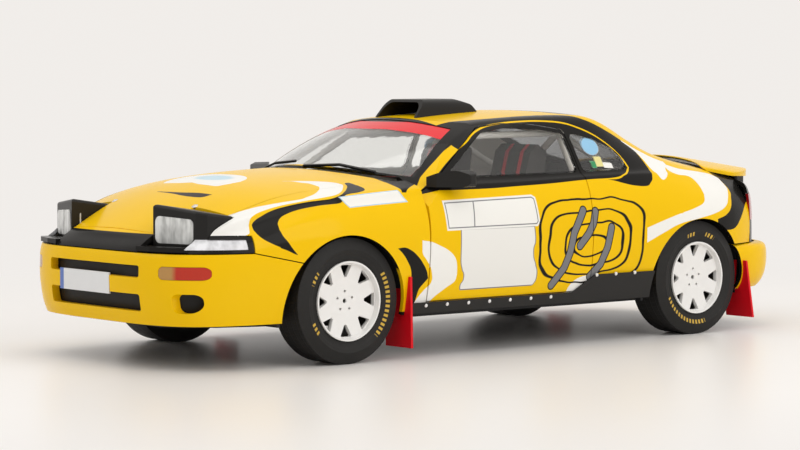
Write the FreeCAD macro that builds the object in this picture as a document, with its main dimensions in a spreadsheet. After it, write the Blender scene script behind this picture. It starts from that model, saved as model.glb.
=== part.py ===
import FreeCAD, Part
import math
import os

import Sketcher
from FreeCAD import Matrix, Placement, Rotation, Vector

# Scale model of a two-door rally coupe with raised pop-up headlamps.
# Millimetres, +Z up. The nose points to -Y and the car's left side is +X.
# The origin is on the ground, under the middle of the model's box.

os.makedirs("parts", exist_ok=True)
doc = FreeCAD.newDocument("rally_coupe_model")

# Sizes

SIZES = (
    ("wheelbase", 140.3),
    ("front_overhang", 55.35),
    ("rear_overhang", 51.3),
    ("half_width", 48.4),
    ("roof_height", 71.8),
    ("sill_base", 12.6),
    ("sill_tuck", 2.9),
    ("skin_wall", 1.3),
    ("bumper_wall", 2.4),
    ("shut_gap", 0.3),
    ("overrun", 2.0),
    ("glass_wall", 0.8),
    ("glass_inset", 0.25),
    ("glass_gap", 0.12),
    ("frame_width", 1.7),
    ("corner_radius", 1.6),
    ("tyre_radius", 17.8),
    ("tyre_width", 12.8),
    ("tread_width", 10.6),
    ("shoulder_drop", 0.7),
    ("bead_radius", 10.9),
    ("half_track", 40.4),
    ("rim_width", 12.2),
    ("flange_radius", 11.26),
    ("flange_wall", 0.6),
    ("barrel_wall", 0.5),
    ("rim_disc_wall", 1.5),
    ("rim_dish", 1.0),
    ("window_width", 3.9),
    ("window_tip", 0.35),
    ("window_foot_radius", 6.7),
    ("window_top_radius", 10.15),
    ("lug_hole_radius", 0.4),
    ("lug_circle_radius", 2.75),
    ("spindle_radius", 1.1),
    ("running_clearance", 0.15),
    ("disc_radius", 7.6),
    ("disc_wall", 0.9),
    ("arch_radius", 21.2),
    ("arch_drop", 2.6),
    ("arch_shift", 0.7),
    ("well_radius", 22.4),
    ("well_wall", 0.9),
    ("well_inner_x", 28.6),
    ("well_outer_x", 44.4),
    ("floor_base", 11.6),
    ("floor_wall", 1.6),
    ("kingpin_x", 32.4),
    ("kingpin_radius", 0.9),
    ("knuckle_width", 2.4),
    ("knuckle_half_height", 4.2),
    ("bracket_wall", 1.4),
    ("steer_arm_length", 8.0),
    ("tie_rod_radius", 0.8),
    ("tie_pin_radius", 0.5),
)

sheet = doc.addObject("Spreadsheet::Sheet", "Sizes")
for row, (name, value) in enumerate(SIZES, start=1):
    sheet.set("A%d" % row, name)
    sheet.set("B%d" % row, str(value))
    sheet.setAlias("B%d" % row, name)
doc.recompute()


def mm(name):
    return float(getattr(sheet, name))


LENGTH = mm("front_overhang") + mm("wheelbase") + mm("rear_overhang")
FRONT_AXLE = mm("front_overhang") - LENGTH / 2
REAR_AXLE = FRONT_AXLE + mm("wheelbase")
MIDDLE = (FRONT_AXLE + REAR_AXLE) / 2
WIDTH = mm("half_width")
HEIGHT = mm("roof_height")
AXLE_Z = mm("tyre_radius")
WALL = mm("skin_wall")
GAP = mm("shut_gap")
OVER = mm("overrun")
FAR = LENGTH


def along(share):
    # A place along the car, as a share of the wheelbase from its middle.
    return MIDDLE + share * mm("wheelbase")


def ahead(share):
    # A place in front of the front axle, as a share of the front overhang.
    return FRONT_AXLE - share * mm("front_overhang")


def behind(share):
    # A place behind the rear axle, as a share of the rear overhang.
    return REAR_AXLE + share * mm("rear_overhang")


def across(share):
    return share * WIDTH


def up(share):
    return share * HEIGHT


# Curves and surfaces


def follow(table, at):
    # Smooth values between the rows of a table, whose first column is the place.
    places = [row[0] for row in table]
    last = len(table) - 1
    k = 0
    while k < last - 1 and at > places[k + 1]:
        k += 1
    span = places[k + 1] - places[k]
    u = (at - places[k]) / span

    def slope(i, column):
        low, high = max(i - 1, 0), min(i + 1, last)
        return (table[high][column] - table[low][column]) / (places[high] - places[low])

    found = []
    for column in range(1, len(table[0])):
        first, second = table[k][column], table[k + 1][column]
        if u < 0 or u > 1:
            end = k if u < 0 else k + 1
            found.append(table[end][column] + slope(end, column) * (at - places[end]))
            continue
        tilt_1, tilt_2 = slope(k, column) * span, slope(k + 1, column) * span
        found.append(first * (1 + 2 * u) * (1 - u) ** 2 + tilt_1 * u * (1 - u) ** 2
                     + second * u * u * (3 - 2 * u) + tilt_2 * u * u * (u - 1))
    return found


def even(first, last, count):
    return [first + (last - first) * k / (count - 1) for k in range(count)]


def inset_path(points, distance):
    # Moves each point of an open path to its left by the distance.
    moved = []
    for k, point in enumerate(points):
        before, after = points[max(k - 1, 0)], points[min(k + 1, len(points) - 1)]
        run, rise = after[0] - before[0], after[1] - before[1]
        size = math.hypot(run, rise)
        moved.append((point[0] - distance * rise / size, point[1] + distance * run / size))
    return moved


def knots(count):
    return [float(k) for k in range(count - 2)], [4] + [1] * (count - 4) + [4]


def surface(net):
    # A cubic surface that ends on the net's borders and rounds its inner points.
    across_knots, across_counts = knots(len(net))
    along_knots, along_counts = knots(len(net[0]))
    made = Part.BSplineSurface()
    made.buildFromPolesMultsKnots(net, across_counts, along_counts, across_knots, along_knots,
                                  False, False, 3, 3)
    return made


def border(sheet_surface, side):
    first_u, last_u, first_v, last_v = sheet_surface.bounds()
    if side == "start":
        return sheet_surface.uIso(first_u).toShape()
    if side == "end":
        return sheet_surface.uIso(last_u).toShape()
    if side == "low":
        return sheet_surface.vIso(first_v).toShape()
    return sheet_surface.vIso(last_v).toShape()


def closed_solid(faces):
    shell = Part.Shell(faces)
    shell.sewShape()
    solid = Part.Solid(shell)
    if solid.Volume < 0:
        solid.reverse()
    return solid


def thick_skin(outer_net, inner_net):
    outer, inner = surface(outer_net), surface(inner_net)
    faces = [outer.toShape(), inner.toShape()]
    for side in ("start", "end", "low", "high"):
        faces.append(Part.makeRuledSurface(border(outer, side), border(inner, side)))
    return closed_solid(faces)


def wire_of(points, radii=0):
    # A closed outline with its corners rounded by the given radius or radii.
    count = len(points)
    if not isinstance(radii, (list, tuple)):
        radii = [radii] * count
    edges, joints = [], []
    for k in range(count):
        here, before, after = points[k], points[k - 1], points[(k + 1) % count]
        if radii[k] <= 0:
            joints.append((here, None, here))
            continue
        back, forth = (before - here).normalize(), (after - here).normalize()
        half = back.getAngle(forth) / 2
        reach = radii[k] / math.tan(half)
        start, end = here + back * reach, here + forth * reach
        middle = (back + forth).normalize()
        top = here + middle * (radii[k] / math.sin(half) - radii[k])
        joints.append((start, top, end))
    for k in range(count):
        start, top, end = joints[k]
        if top is not None:
            edges.append(Part.Arc(start, top, end).toShape())
        following = joints[(k + 1) % count][0]
        if (following - end).Length > 0:
            edges.append(Part.makeLine(end, following))
    return Part.Wire(edges)


def side_prism(points, first_x, last_x, radii=0):
    # An outline in (y, z) carried across the car.
    outline = [Vector(first_x, y, z) for y, z in points]
    return Part.Face(wire_of(outline, radii)).extrude(Vector(last_x - first_x, 0, 0))


def plan_prism(points, low, high, radii=0):
    # An outline in (x, y) carried upwards.
    outline = [Vector(x, y, low) for x, y in points]
    return Part.Face(wire_of(outline, radii)).extrude(Vector(0, 0, high - low))


def block(low, high):
    size = Vector(*high) - Vector(*low)
    return Part.makeBox(size.x, size.y, size.z, Vector(*low))


def mirrored(shape):
    return shape.mirror(Vector(0, 0, 0), Vector(1, 0, 0))


def rod(start, end, radius):
    run = end - start
    return Part.makeCylinder(radius, run.Length, start, run)


def feature(label, shape, body_place=None):
    made = doc.addObject("Part::Feature", label)
    made.Label = label
    made.Shape = shape
    made.Placement = body_place if body_place else Placement()
    nodes.append(made)
    return made


nodes = []

# Guide curves of the body: place along the car, then shares of half width and roof height

WAIST_SHARES = ((-0.41, 0.99, 0.46), (-0.292, 0.978, 0.46), (0.0, 0.985, 0.46), (0.25, 0.99, 0.46),
                (0.50, 1.0, 0.46), (0.60, 0.978, 0.46), (0.66, 0.935, 0.46), (0.70, 0.882, 0.46))
BELT_SHARES = ((-0.41, 0.905, 0.665), (-0.292, 0.91, 0.675), (0.0, 0.915, 0.684),
               (0.278, 0.91, 0.700), (0.428, 0.89, 0.698), (0.57, 0.845, 0.675),
               (0.70, 0.745, 0.652))
RAIL_SHARES = ((-0.41, 0.60, 0.80), (-0.292, 0.60, 0.86), (-0.095, 0.61, 0.921),
               (0.0, 0.632, 0.942), (0.093, 0.645, 0.953), (0.185, 0.65, 0.957),
               (0.262, 0.645, 0.956), (0.306, 0.64, 0.932), (0.352, 0.64, 0.884),
               (0.40, 0.65, 0.832), (0.447, 0.66, 0.788), (0.57, 0.675, 0.728),
               (0.70, 0.63, 0.692))
CROWN_SHARES = ((-0.41, 0.91), (-0.292, 0.92), (-0.095, 0.955), (0.0, 0.968), (0.093, 0.976),
                (0.185, 0.978), (0.26, 0.975), (0.306, 0.960), (0.352, 0.925), (0.447, 0.845),
                (0.57, 0.778), (0.646, 0.753), (0.70, 0.742))
DOOR_FRONT_SHARE, CABIN_FRONT_SHARE, CABIN_REAR_SHARE = -0.292, -0.41, 0.699
DOOR_FRONT = along(DOOR_FRONT_SHARE)
CABIN_REAR = along(CABIN_REAR_SHARE)


def side_offset(z, waist_z, belt_z, belt_tuck):
    # How far the car's side lies inside its widest line at height z.
    if z < waist_z:
        return mm("sill_tuck") * ((waist_z - z) / (waist_z - mm("sill_base"))) ** 2
    return belt_tuck * ((z - waist_z) / (belt_z - waist_z)) ** 2.6


def side_heights(waist_z, belt_z):
    low = [mm("sill_base") + (waist_z - mm("sill_base")) * share for share in (0, 0.3, 0.65)]
    high = [waist_z + (belt_z - waist_z) * share for share in (0, 0.35, 0.65, 0.88, 1)]
    return low + high


LEDGE_SHARES = ((0.15, 0.55), (0.75, 1.0))
ROOF_SHARES = (0.86, 0.62, 0.36, 0.14, 0.0)


def cabin_half(share):
    # One section of the cabin, from the left sill up to the roof's middle.
    waist_x, waist_z = follow(WAIST_SHARES, share)
    belt_x, belt_z = follow(BELT_SHARES, share)
    rail_x, rail_z = follow(RAIL_SHARES, share)
    crown_z = follow(CROWN_SHARES, share)[0]
    waist_x, belt_x, rail_x = across(waist_x), across(belt_x), across(rail_x)
    waist_z, belt_z, rail_z, crown_z = up(waist_z), up(belt_z), up(rail_z), up(crown_z)
    points = [(waist_x - side_offset(z, waist_z, belt_z, waist_x - belt_x), z)
              for z in side_heights(waist_z, belt_z)]
    ledge = 2 * WALL
    for out, rise in LEDGE_SHARES:
        points.append((belt_x - out * ledge, belt_z + rise * WALL))
    foot_x, foot_z = belt_x - ledge, belt_z + 1.3 * WALL
    for part in (0.12, 0.4, 0.7):
        bulge = 2 * WALL * part * (1 - part)
        points.append((foot_x + (rail_x - foot_x) * part + bulge,
                       foot_z + (rail_z - foot_z) * part + bulge / 2))
    points.append((rail_x, rail_z))
    for part in ROOF_SHARES:
        points.append((rail_x * part, rail_z + (crown_z - rail_z) * (1 - part * part)))
    return points


def cabin_net(inset, stretch):
    net = []
    shares = even(CABIN_FRONT_SHARE, CABIN_REAR_SHARE, 24)
    for k, share in enumerate(shares):
        half = cabin_half(share)
        half.append((-half[-2][0], half[-2][1]))
        half = inset_path(half, inset)[:-1]
        half[-1] = (0, half[-1][1])
        half[0] = (half[0][0], mm("sill_base") - stretch)
        place = along(share)
        if k == 0:
            place -= stretch
        if k == len(shares) - 1:
            place += stretch
        full = half + [(-x, z) for x, z in reversed(half[:-1])]
        net.append([Vector(x, place, z) for x, z in full])
    return net


# Windscreen surface: its lower and upper rows at the middle, and how they bow at the sides

SCREEN_LOW_SHARES = (-0.374, 0.740)
SCREEN_HIGH_SHARES = (-0.124, 0.958)
SCREEN_SIDE_SHARE = 0.826
SCREEN_BOW_SHARES = (0.089, 0.056)
SCREEN_DROP_SHARES = (0.063, 0.082)
SCREEN_BULGE_SHARE = 0.022
SCREEN_NORMAL = Vector(0, -0.42, 0.9)


def screen_point(side, rise):
    bow = (1 - rise) * SCREEN_BOW_SHARES[0] + rise * SCREEN_BOW_SHARES[1]
    drop = (1 - rise) * SCREEN_DROP_SHARES[0] + rise * SCREEN_DROP_SHARES[1]
    y = (1 - rise) * SCREEN_LOW_SHARES[0] + rise * SCREEN_HIGH_SHARES[0]
    z = (1 - rise) * SCREEN_LOW_SHARES[1] + rise * SCREEN_HIGH_SHARES[1]
    bulge = SCREEN_BULGE_SHARE * 4 * max(rise * (1 - rise), -0.25)
    off = (side / SCREEN_SIDE_SHARE) ** 2
    return Vector(across(side), along(y + bow * off), up(z - drop * off + bulge))


def above_screen(inset):
    net = [[screen_point(side, rise) - SCREEN_NORMAL * inset for side in even(-1.3, 1.3, 11)]
           for rise in even(-0.5, 1.6, 9)]
    return surface(net).toShape().extrude(Vector(0, -FAR, FAR))


def cabin_volume(inset, stretch=0):
    skin = surface(cabin_net(inset, stretch))
    start, end = border(skin, "start"), border(skin, "end")
    low, high = border(skin, "low"), border(skin, "high")

    def corner(edge, k):
        return edge.valueAt(edge.FirstParameter if k == 0 else edge.LastParameter)

    front_line = Part.makeLine(corner(start, 0), corner(start, 1))
    rear_line = Part.makeLine(corner(end, 0), corner(end, 1))
    faces = [skin.toShape(), Part.Face(Part.Wire([start, front_line])),
             Part.Face(Part.Wire([end, rear_line])),
             Part.Face(Part.Wire([low, rear_line, high, front_line]))]
    return closed_solid(faces).cut(above_screen(inset))


# Front end: the outline in plan, its height profile and the surface of bonnet and wing tops

PLAN_SIDE_SHARES = ((-0.292, 0.978), (-0.36, 0.986), (-0.43, 0.99))
PLAN_NOSE_SHARES = ((0.0, 0.992), (0.17, 0.988), (0.33, 0.975), (0.48, 0.952), (0.62, 0.920),
                    (0.755, 0.874), (0.865, 0.80), (0.938, 0.686), (0.98, 0.535), (1.0, 0.35),
                    (1.0, 0.17))
STRIP_SHARES = (0.238, 0.24, 0.242, 0.242, 0.236, 0.22, 0.20, 0.19, 0.18, 0.17, 0.16, 0.15,
                0.145, 0.145)
NOSE_WEIGHT_SHARES = (0, 0, 0, 0, 0, 0, 0.1, 0.35, 0.65, 0.9, 1, 1, 1, 1)
DECK_SHARES = ((-1.2, 0.40), (-1.0, 0.470), (-0.88, 0.528), (-0.76, 0.580), (-0.65, 0.624),
               (-0.50, 0.672), (-0.36, 0.704), (-0.21, 0.722), (0.0, 0.737), (0.22, 0.746),
               (0.53, 0.756), (0.7, 0.760))
DECK_DROP_SHARE = 0.064
DECK_SIDE_SHARE = 0.826
NOSE_PROFILE_SHARES = ((0.175, 0.045), (0.21, 0.022), (0.28, 0.004), (0.36, 0.0), (0.42, 0.004),
                       (0.455, 0.018), (0.475, 0.045), (0.495, 0.085))


def deck_height(x, y):
    # Height of the bonnet and wing tops over the plan.
    share = (y - FRONT_AXLE) / mm("front_overhang")
    drop = DECK_DROP_SHARE * abs(x / across(DECK_SIDE_SHARE)) ** 2.2
    return up(follow(DECK_SHARES, share)[0] - drop)


def plan_points():
    points = [(across(x), along(y)) for y, x in PLAN_SIDE_SHARES]
    points += [(across(x), ahead(y)) for y, x in PLAN_NOSE_SHARES]
    return points


def plan_inset(distances):
    # The half plan moved inwards, each point by its own distance.
    points = plan_points()
    line = points + [(-points[-1][0], points[-1][1])]
    line[0] = (line[0][0], line[0][1])
    moved = []
    for k, point in enumerate(points):
        normal = inset_path(line, -1)[k]
        step = (normal[0] - point[0], normal[1] - point[1])
        moved.append((point[0] + step[0] * distances[k], point[1] + step[1] * distances[k]))
    moved[0] = (moved[0][0], points[0][1])
    return moved


def front_section(k, point, inward):
    # Offsets from the plan line and heights of one section, from the sill to the strip's end.
    weight = NOSE_WEIGHT_SHARES[k]
    strip = across(STRIP_SHARES[k])

    def over(distance):
        return deck_height(point[0] + inward[0] * distance, point[1] + inward[1] * distance)

    corner = across(0.085) * (1 - weight) + across(0.105) * weight
    shoulder = over(corner) - (1 - weight) * 1.5 * WALL
    waist_z = up(WAIST_SHARES[0][2])
    rows = []
    heights = side_heights(waist_z, shoulder)
    for n, z in enumerate(heights):
        side = side_offset(z, waist_z, shoulder, corner - 0.2 * WALL)
        nose_z, nose_offset = NOSE_PROFILE_SHARES[n]
        rows.append((side * (1 - weight) + across(nose_offset) * weight,
                     z * (1 - weight) + up(nose_z) * weight))
    rest = strip - corner
    for part in (0.0, 0.3, 0.65, 1.0):
        distance = corner + rest * part
        rows.append((distance, over(distance)))
    return rows


def front_net(inset):
    points = plan_points()
    line = points + [(-points[-1][0], points[-1][1])]
    tips = inset_path(line, -1)
    half = []
    for k, point in enumerate(points):
        inward = (tips[k][0] - point[0], tips[k][1] - point[1])
        if k == 0:
            inward = (-1, 0)
        rows = inset_path([(-d, z) for d, z in front_section(k, point, inward)], inset)
        half.append([Vector(point[0] - inward[0] * d, point[1] - inward[1] * d, z)
                     for d, z in rows])
    other = [[Vector(-p.x, p.y, p.z) for p in column] for column in reversed(half)]
    return half + other


def deck_net(inset):
    return [[Vector(across(x), y, deck_height(across(x), y) - inset)
             for x in even(-0.9, 0.9, 13)]
            for y in even(ahead(1.02), along(-0.25), 16)]


# Tail: the outline in plan behind the cabin surface, wrapped round to the deck

TAIL_PLAN_SHARES = ((0.533, 0.882), (0.60, 0.84), (0.69, 0.765), (0.78, 0.65), (0.85, 0.50),
                    (0.895, 0.33), (0.92, 0.15))
TAIL_HEIGHT_SHARES = (0.385, 0.45, 0.52, 0.58, 0.625)
TAIL_LEAN_SHARES = (0.0, 0.0, 0.004, 0.012, 0.03)
TAIL_DECK_SHARES = (0.645, 0.657, 0.666, 0.674)


def tail_net(inset):
    half = []
    rear = follow(CROWN_SHARES, CABIN_REAR_SHARE)[0]
    rail_x, rail_z = follow(RAIL_SHARES, CABIN_REAR_SHARE)
    for k, (back, side) in enumerate(TAIL_PLAN_SHARES):
        start = Vector(across(side), behind(back), 0)
        depth = start.y - CABIN_REAR
        part = side / TAIL_PLAN_SHARES[0][1]
        end_x = across(rail_x) * part
        end_z = up(rail_z + (rear - rail_z) * (1 - part * part))
        run = math.hypot(start.x - end_x, depth)
        rows = [(across(lean), up(z)) for lean, z in zip(TAIL_LEAN_SHARES, TAIL_HEIGHT_SHARES)]
        rows.append((0.09 * run + across(TAIL_LEAN_SHARES[-1]), up(TAIL_DECK_SHARES[0])))
        rows.append((0.30 * run, up(TAIL_DECK_SHARES[1])))
        rows.append((0.65 * run, up(TAIL_DECK_SHARES[2])))
        rows.append((0.87 * run, up(TAIL_DECK_SHARES[3])))
        rows.append((run, end_z))
        rows = inset_path([(-d, z) for d, z in rows], inset)
        inward = Vector(end_x - start.x, -depth, 0) / run
        half.append([Vector(start.x - inward.x * d, max(start.y - inward.y * d, CABIN_REAR), z)
                     for d, z in rows])
    other = [[Vector(-p.x, p.y, p.z) for p in column] for column in reversed(half)]
    return half + other


# Cuts shared by several panels


def box_of(low_x, high_x, low_y, high_y, low_z, high_z):
    return block((low_x, low_y, low_z), (high_x, high_y, high_z))


def grown(face, distance):
    return face.makeOffset2D(distance)


def side_face(points, x, radii=0):
    return Part.Face(wire_of([Vector(x, y, z) for y, z in points], radii))


def plan_face(points, z, radii=0):
    return Part.Face(wire_of([Vector(x, y, z) for x, y in points], radii))


def arch_cut(axle_y, radius, first_x, last_x):
    centre = Vector(first_x, axle_y, AXLE_Z - mm("arch_drop"))
    return Part.makeCylinder(radius, last_x - first_x, centre, Vector(1, 0, 0))


FRONT_ARCH_Y = FRONT_AXLE - mm("arch_shift")
REAR_ARCH_Y = REAR_AXLE
SILL = mm("sill_base")

# Front end panels

BUMPER_TOP = up(0.454)
LEDGE_TOP = up(0.476)
BAND_TOP = up(0.515)
LAMP_REAR = ahead(0.575)
SPLIT_REAR_Z = up(0.40)
POD_PLAN_SHARES = ((0.419, 1.1), (0.721, 1.1), (0.771, 0.76), (0.771, 0.598), (0.419, 0.622))
HALF_BAND = across(0.42)


def pod_opening(gap):
    points = [(across(x), ahead(y)) for x, y in POD_PLAN_SHARES]
    face = grown(plan_face(points, LEDGE_TOP, 0), gap)
    left = face.extrude(Vector(0, 0, HEIGHT))
    return left.fuse(mirrored(left))


def bumper_region(gap):
    arch_y = FRONT_ARCH_Y - 0.6 * mm("arch_radius")
    points = [(NOSE - OVER, SILL - OVER), (arch_y, SILL - OVER), (arch_y, SPLIT_REAR_Z - gap),
              (LAMP_REAR, BUMPER_TOP - gap), (NOSE - OVER, BUMPER_TOP - gap)]
    return side_prism(points, -FAR, FAR)


def band_region(gap):
    low = BUMPER_TOP - gap
    band = box_of(-FAR, FAR, NOSE - OVER, LAMP_REAR + gap, low, BAND_TOP + gap)
    middle = box_of(-HALF_BAND, HALF_BAND, NOSE - OVER, ahead(0.75), low, HEIGHT)
    return band.fuse(middle)


NOSE = -LENGTH / 2
TAIL = LENGTH / 2
arches = arch_cut(FRONT_ARCH_Y, mm("arch_radius"), -FAR, FAR).fuse(
    arch_cut(REAR_ARCH_Y, mm("arch_radius"), -FAR, FAR))
front_skin = thick_skin(front_net(0), front_net(WALL))
bumper_skin = thick_skin(front_net(0), front_net(mm("bumper_wall")))
rear_edge = box_of(-FAR, FAR, DOOR_FRONT - GAP / 2, FAR, 0, HEIGHT)

# Bumper openings: upper and lower slots, lamps low at the corners and the indicators

SLOT_HALF = across(0.459)
UPPER_SLOT = (up(0.356), up(0.403))
LOWER_SLOT = (up(0.226), up(0.293))
FOG_PLACE = (across(0.682), across(0.818))
FOG_HEIGHTS = (up(0.226), up(0.300))
INDICATOR_PLACE = (across(0.604), across(0.849))
INDICATOR_HEIGHTS = (up(0.353), up(0.404))
CORNER = mm("corner_radius")


def front_hole(low_x, high_x, heights, radii, depth):
    outline = [Vector(x, NOSE - OVER, z) for x, z in
               ((low_x, heights[0]), (high_x, heights[0]), (high_x, heights[1]),
                (low_x, heights[1]))]
    return Part.Face(wire_of(outline, radii)).extrude(Vector(0, depth, 0))


def both_sides(shape):
    return shape.fuse(mirrored(shape))


slots = front_hole(-SLOT_HALF, SLOT_HALF, UPPER_SLOT, CORNER / 2, FAR / 8)
slots = slots.fuse(front_hole(-SLOT_HALF, SLOT_HALF, LOWER_SLOT, CORNER / 2, FAR / 8))
fog = front_hole(*FOG_PLACE, FOG_HEIGHTS, [CORNER, 2 * CORNER, CORNER, CORNER], FAR / 8)
indicator = front_hole(*INDICATOR_PLACE, INDICATOR_HEIGHTS, 0.9 * CORNER, FAR / 8)
indicator_seat = both_sides(indicator)
indicator_seat = indicator_seat.common(thick_skin(front_net(-OVER), front_net(0.55 * WALL)))
front_bumper = bumper_skin.common(bumper_region(GAP)).cut(arches)
front_bumper = front_bumper.cut(slots).cut(both_sides(fog)).cut(indicator_seat)
feature("front_bumper", front_bumper)

nose_panel = front_skin.common(band_region(0)).cut(bumper_region(0)).cut(pod_opening(0))
nose_plan = plan_inset([0.6 * WALL] * len(plan_points()))
nose_plan = nose_plan + [(-x, y) for x, y in reversed(nose_plan)]
ledge_points = [(across(x), ahead(y)) for x, y in POD_PLAN_SHARES]
lamp_ledge = plan_prism(ledge_points, LEDGE_TOP - WALL, LEDGE_TOP)
lamp_ledge = both_sides(lamp_ledge).common(plan_prism(nose_plan, 0, HEIGHT))
nose_panel = nose_panel.fuse(lamp_ledge)
lamp_band = box_of(across(0.72), FAR, NOSE, LAMP_REAR - CORNER, BUMPER_TOP + 0.7 * WALL,
                   BAND_TOP - 0.6 * WALL)
side_lamps = thick_skin(front_net(0.15 * WALL), front_net(0.8 * WALL)).common(lamp_band)
nose_panel = nose_panel.cut(both_sides(lamp_band))
feature("nose_panel", nose_panel)
feature("side_lamps", both_sides(side_lamps))

fenders = front_skin.cut(bumper_region(0)).cut(band_region(GAP)).cut(pod_opening(0))
fenders = fenders.cut(arches).cut(rear_edge)


def side_part(shape, left):
    kept = [solid for solid in shape.Solids if (solid.CenterOfGravity.x > 0) == left]
    return max(kept, key=lambda solid: solid.Volume)


feature("fender_left", side_part(fenders, True))
feature("fender_right", side_part(fenders, False))

SCREEN_FOOT_SHARES = ((0.744, -0.293), (0.0, -0.367))
COWL_WIDTH = across(0.095)


def strip_curve(extra):
    # The line where the wing strips and the nose panel end, seen from above.
    half = plan_inset([across(share) + extra for share in STRIP_SHARES])
    points = [Vector(x, y, 0) for x, y in half]
    points += [Vector(-p.x, p.y, 0) for p in reversed(points)]
    curve_knots, counts = knots(len(points))
    curve = Part.BSplineCurve()
    curve.buildFromPolesMultsKnots(points, counts, curve_knots, False, 3)
    return curve.toShape()


def bonnet_face(extra, rear_shift):
    front = strip_curve(extra)
    left = front.valueAt(front.FirstParameter)
    right = front.valueAt(front.LastParameter)
    foot_x, foot_y = SCREEN_FOOT_SHARES[0]
    corner = Vector(left.x, along(foot_y) - rear_shift, 0)
    middle = Vector(0, along(SCREEN_FOOT_SHARES[1][1]) - rear_shift, 0)
    other = Vector(right.x, corner.y, 0)
    edges = [front]
    first = Part.makeLine(right, other)
    last = Part.makeLine(corner, left)
    edges += [first, Part.Arc(other, middle, corner).toShape(), last]
    return Part.Face(Part.Wire(edges))


deck = thick_skin(deck_net(0), deck_net(WALL))
bonnet = deck.common(bonnet_face(GAP, COWL_WIDTH).extrude(Vector(0, 0, HEIGHT)))
bonnet = bonnet.cut(pod_opening(0)).cut(thick_skin(front_net(-GAP), front_net(WALL + GAP / 2)))
bonnet = max(bonnet.Solids, key=lambda solid: solid.Volume)
feature("bonnet", bonnet)
low_deck = thick_skin(deck_net(0.7 * WALL), deck_net(1.5 * WALL))
cowl = low_deck.common(bonnet_face(GAP, -2 * COWL_WIDTH).extrude(Vector(0, 0, HEIGHT)))
cowl = cowl.cut(bonnet_face(0, COWL_WIDTH - GAP).extrude(Vector(0, 0, HEIGHT)))
cowl = cowl.cut(cabin_volume(-0.5 * GAP)).cut(bonnet)
feature("cowl_panel", max(cowl.Solids, key=lambda solid: solid.Volume))

# Cabin: shell, doors, hatch and glass

outer = cabin_volume(0)
shell = outer.cut(cabin_volume(WALL, OVER))
below_deck = surface(deck_net(-GAP)).toShape().extrude(Vector(0, 0, -HEIGHT))
envelope = below_deck.common(box_of(-FAR, FAR, -FAR, DOOR_FRONT + GAP / 2, 0, 2 * HEIGHT))
flank = box_of(across(0.87), FAR, -FAR, DOOR_FRONT + GAP / 2, 0, up(0.66))
shell = shell.cut(envelope).cut(both_sides(flank)).cut(arches)

DOOR_SHARES = ((-0.292, 0.222), (0.168, 0.222), (0.168, 0.69), (0.162, 0.902), (0.09, 0.924),
               (0.0, 0.930), (-0.066, 0.914), (-0.264, 0.684), (-0.292, 0.655))
WINDOW_SHARES = ((-0.217, 0.712), (0.160, 0.722), (0.155, 0.882), (0.09, 0.902),
                 (0.0, 0.908), (-0.060, 0.893))
QUARTER_SHARES = ((0.177, 0.722), (0.30, 0.728), (0.318, 0.750), (0.285, 0.818), (0.235, 0.86),
                  (0.172, 0.886))


def share_face(shares, x, radii):
    return side_face([(along(y), up(z)) for y, z in shares], x, radii)


def reach(face, left=True):
    made = face.extrude(Vector(FAR, 0, 0))
    return made if left else mirrored(made)


inner_x = across(0.3)
door_radii = [0, CORNER, 0, CORNER, 0, 0, CORNER, 0, 0]
door_cut = share_face(DOOR_SHARES, inner_x, door_radii)
door_form = grown(door_cut, -GAP)
window_radii = [CORNER / 2, CORNER, CORNER, 0, 0, CORNER]
window_cut = share_face(WINDOW_SHARES, inner_x, window_radii)
quarter_radii = [CORNER, 0, CORNER, 0, 0, CORNER]
quarter_cut = share_face(QUARTER_SHARES, inner_x, quarter_radii)
inset = mm("glass_inset")
glass_skin = cabin_volume(inset).cut(cabin_volume(inset + mm("glass_wall"), OVER))

for side, left in (("left", True), ("right", False)):
    door = shell.common(reach(door_form, left)).cut(reach(window_cut, left))
    feature("door_" + side, max(door.Solids, key=lambda solid: solid.Volume))
    panes = [glass_skin.common(reach(grown(face, -mm("glass_gap")), left))
             for face in (window_cut, quarter_cut)]
    feature("side_windows_" + side, Part.makeCompound(panes))

SCREEN_CUT_SHARES = ((0.750, -0.270), (0.0, -0.352), (0.558, -0.112), (0.0, -0.140))
HATCH_SHARES = ((-0.57, 0.215), (0.57, 0.215), (0.62, 0.45), (0.60, 0.72), (-0.60, 0.72),
                (-0.62, 0.45))
REAR_GLASS_SHARES = ((-0.50, 0.245), (0.50, 0.245), (0.545, 0.45), (0.52, 0.625),
                     (-0.52, 0.625), (-0.545, 0.45))


def screen_face(z):
    low_x, low_y = SCREEN_CUT_SHARES[0]
    high_x, high_y = SCREEN_CUT_SHARES[2]
    points = [Vector(across(low_x), along(low_y), z),
              Vector(0, along(SCREEN_CUT_SHARES[1][1]), z),
              Vector(-across(low_x), along(low_y), z),
              Vector(-across(high_x), along(high_y), z),
              Vector(0, along(SCREEN_CUT_SHARES[3][1]), z),
              Vector(across(high_x), along(high_y), z)]
    edges = [Part.Arc(points[0], points[1], points[2]).toShape(),
             Part.makeLine(points[2], points[3]),
             Part.Arc(points[3], points[4], points[5]).toShape(),
             Part.makeLine(points[5], points[0])]
    return Part.Face(Part.Wire(edges))


def raise_cut(face):
    return face.extrude(Vector(0, 0, HEIGHT))


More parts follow.
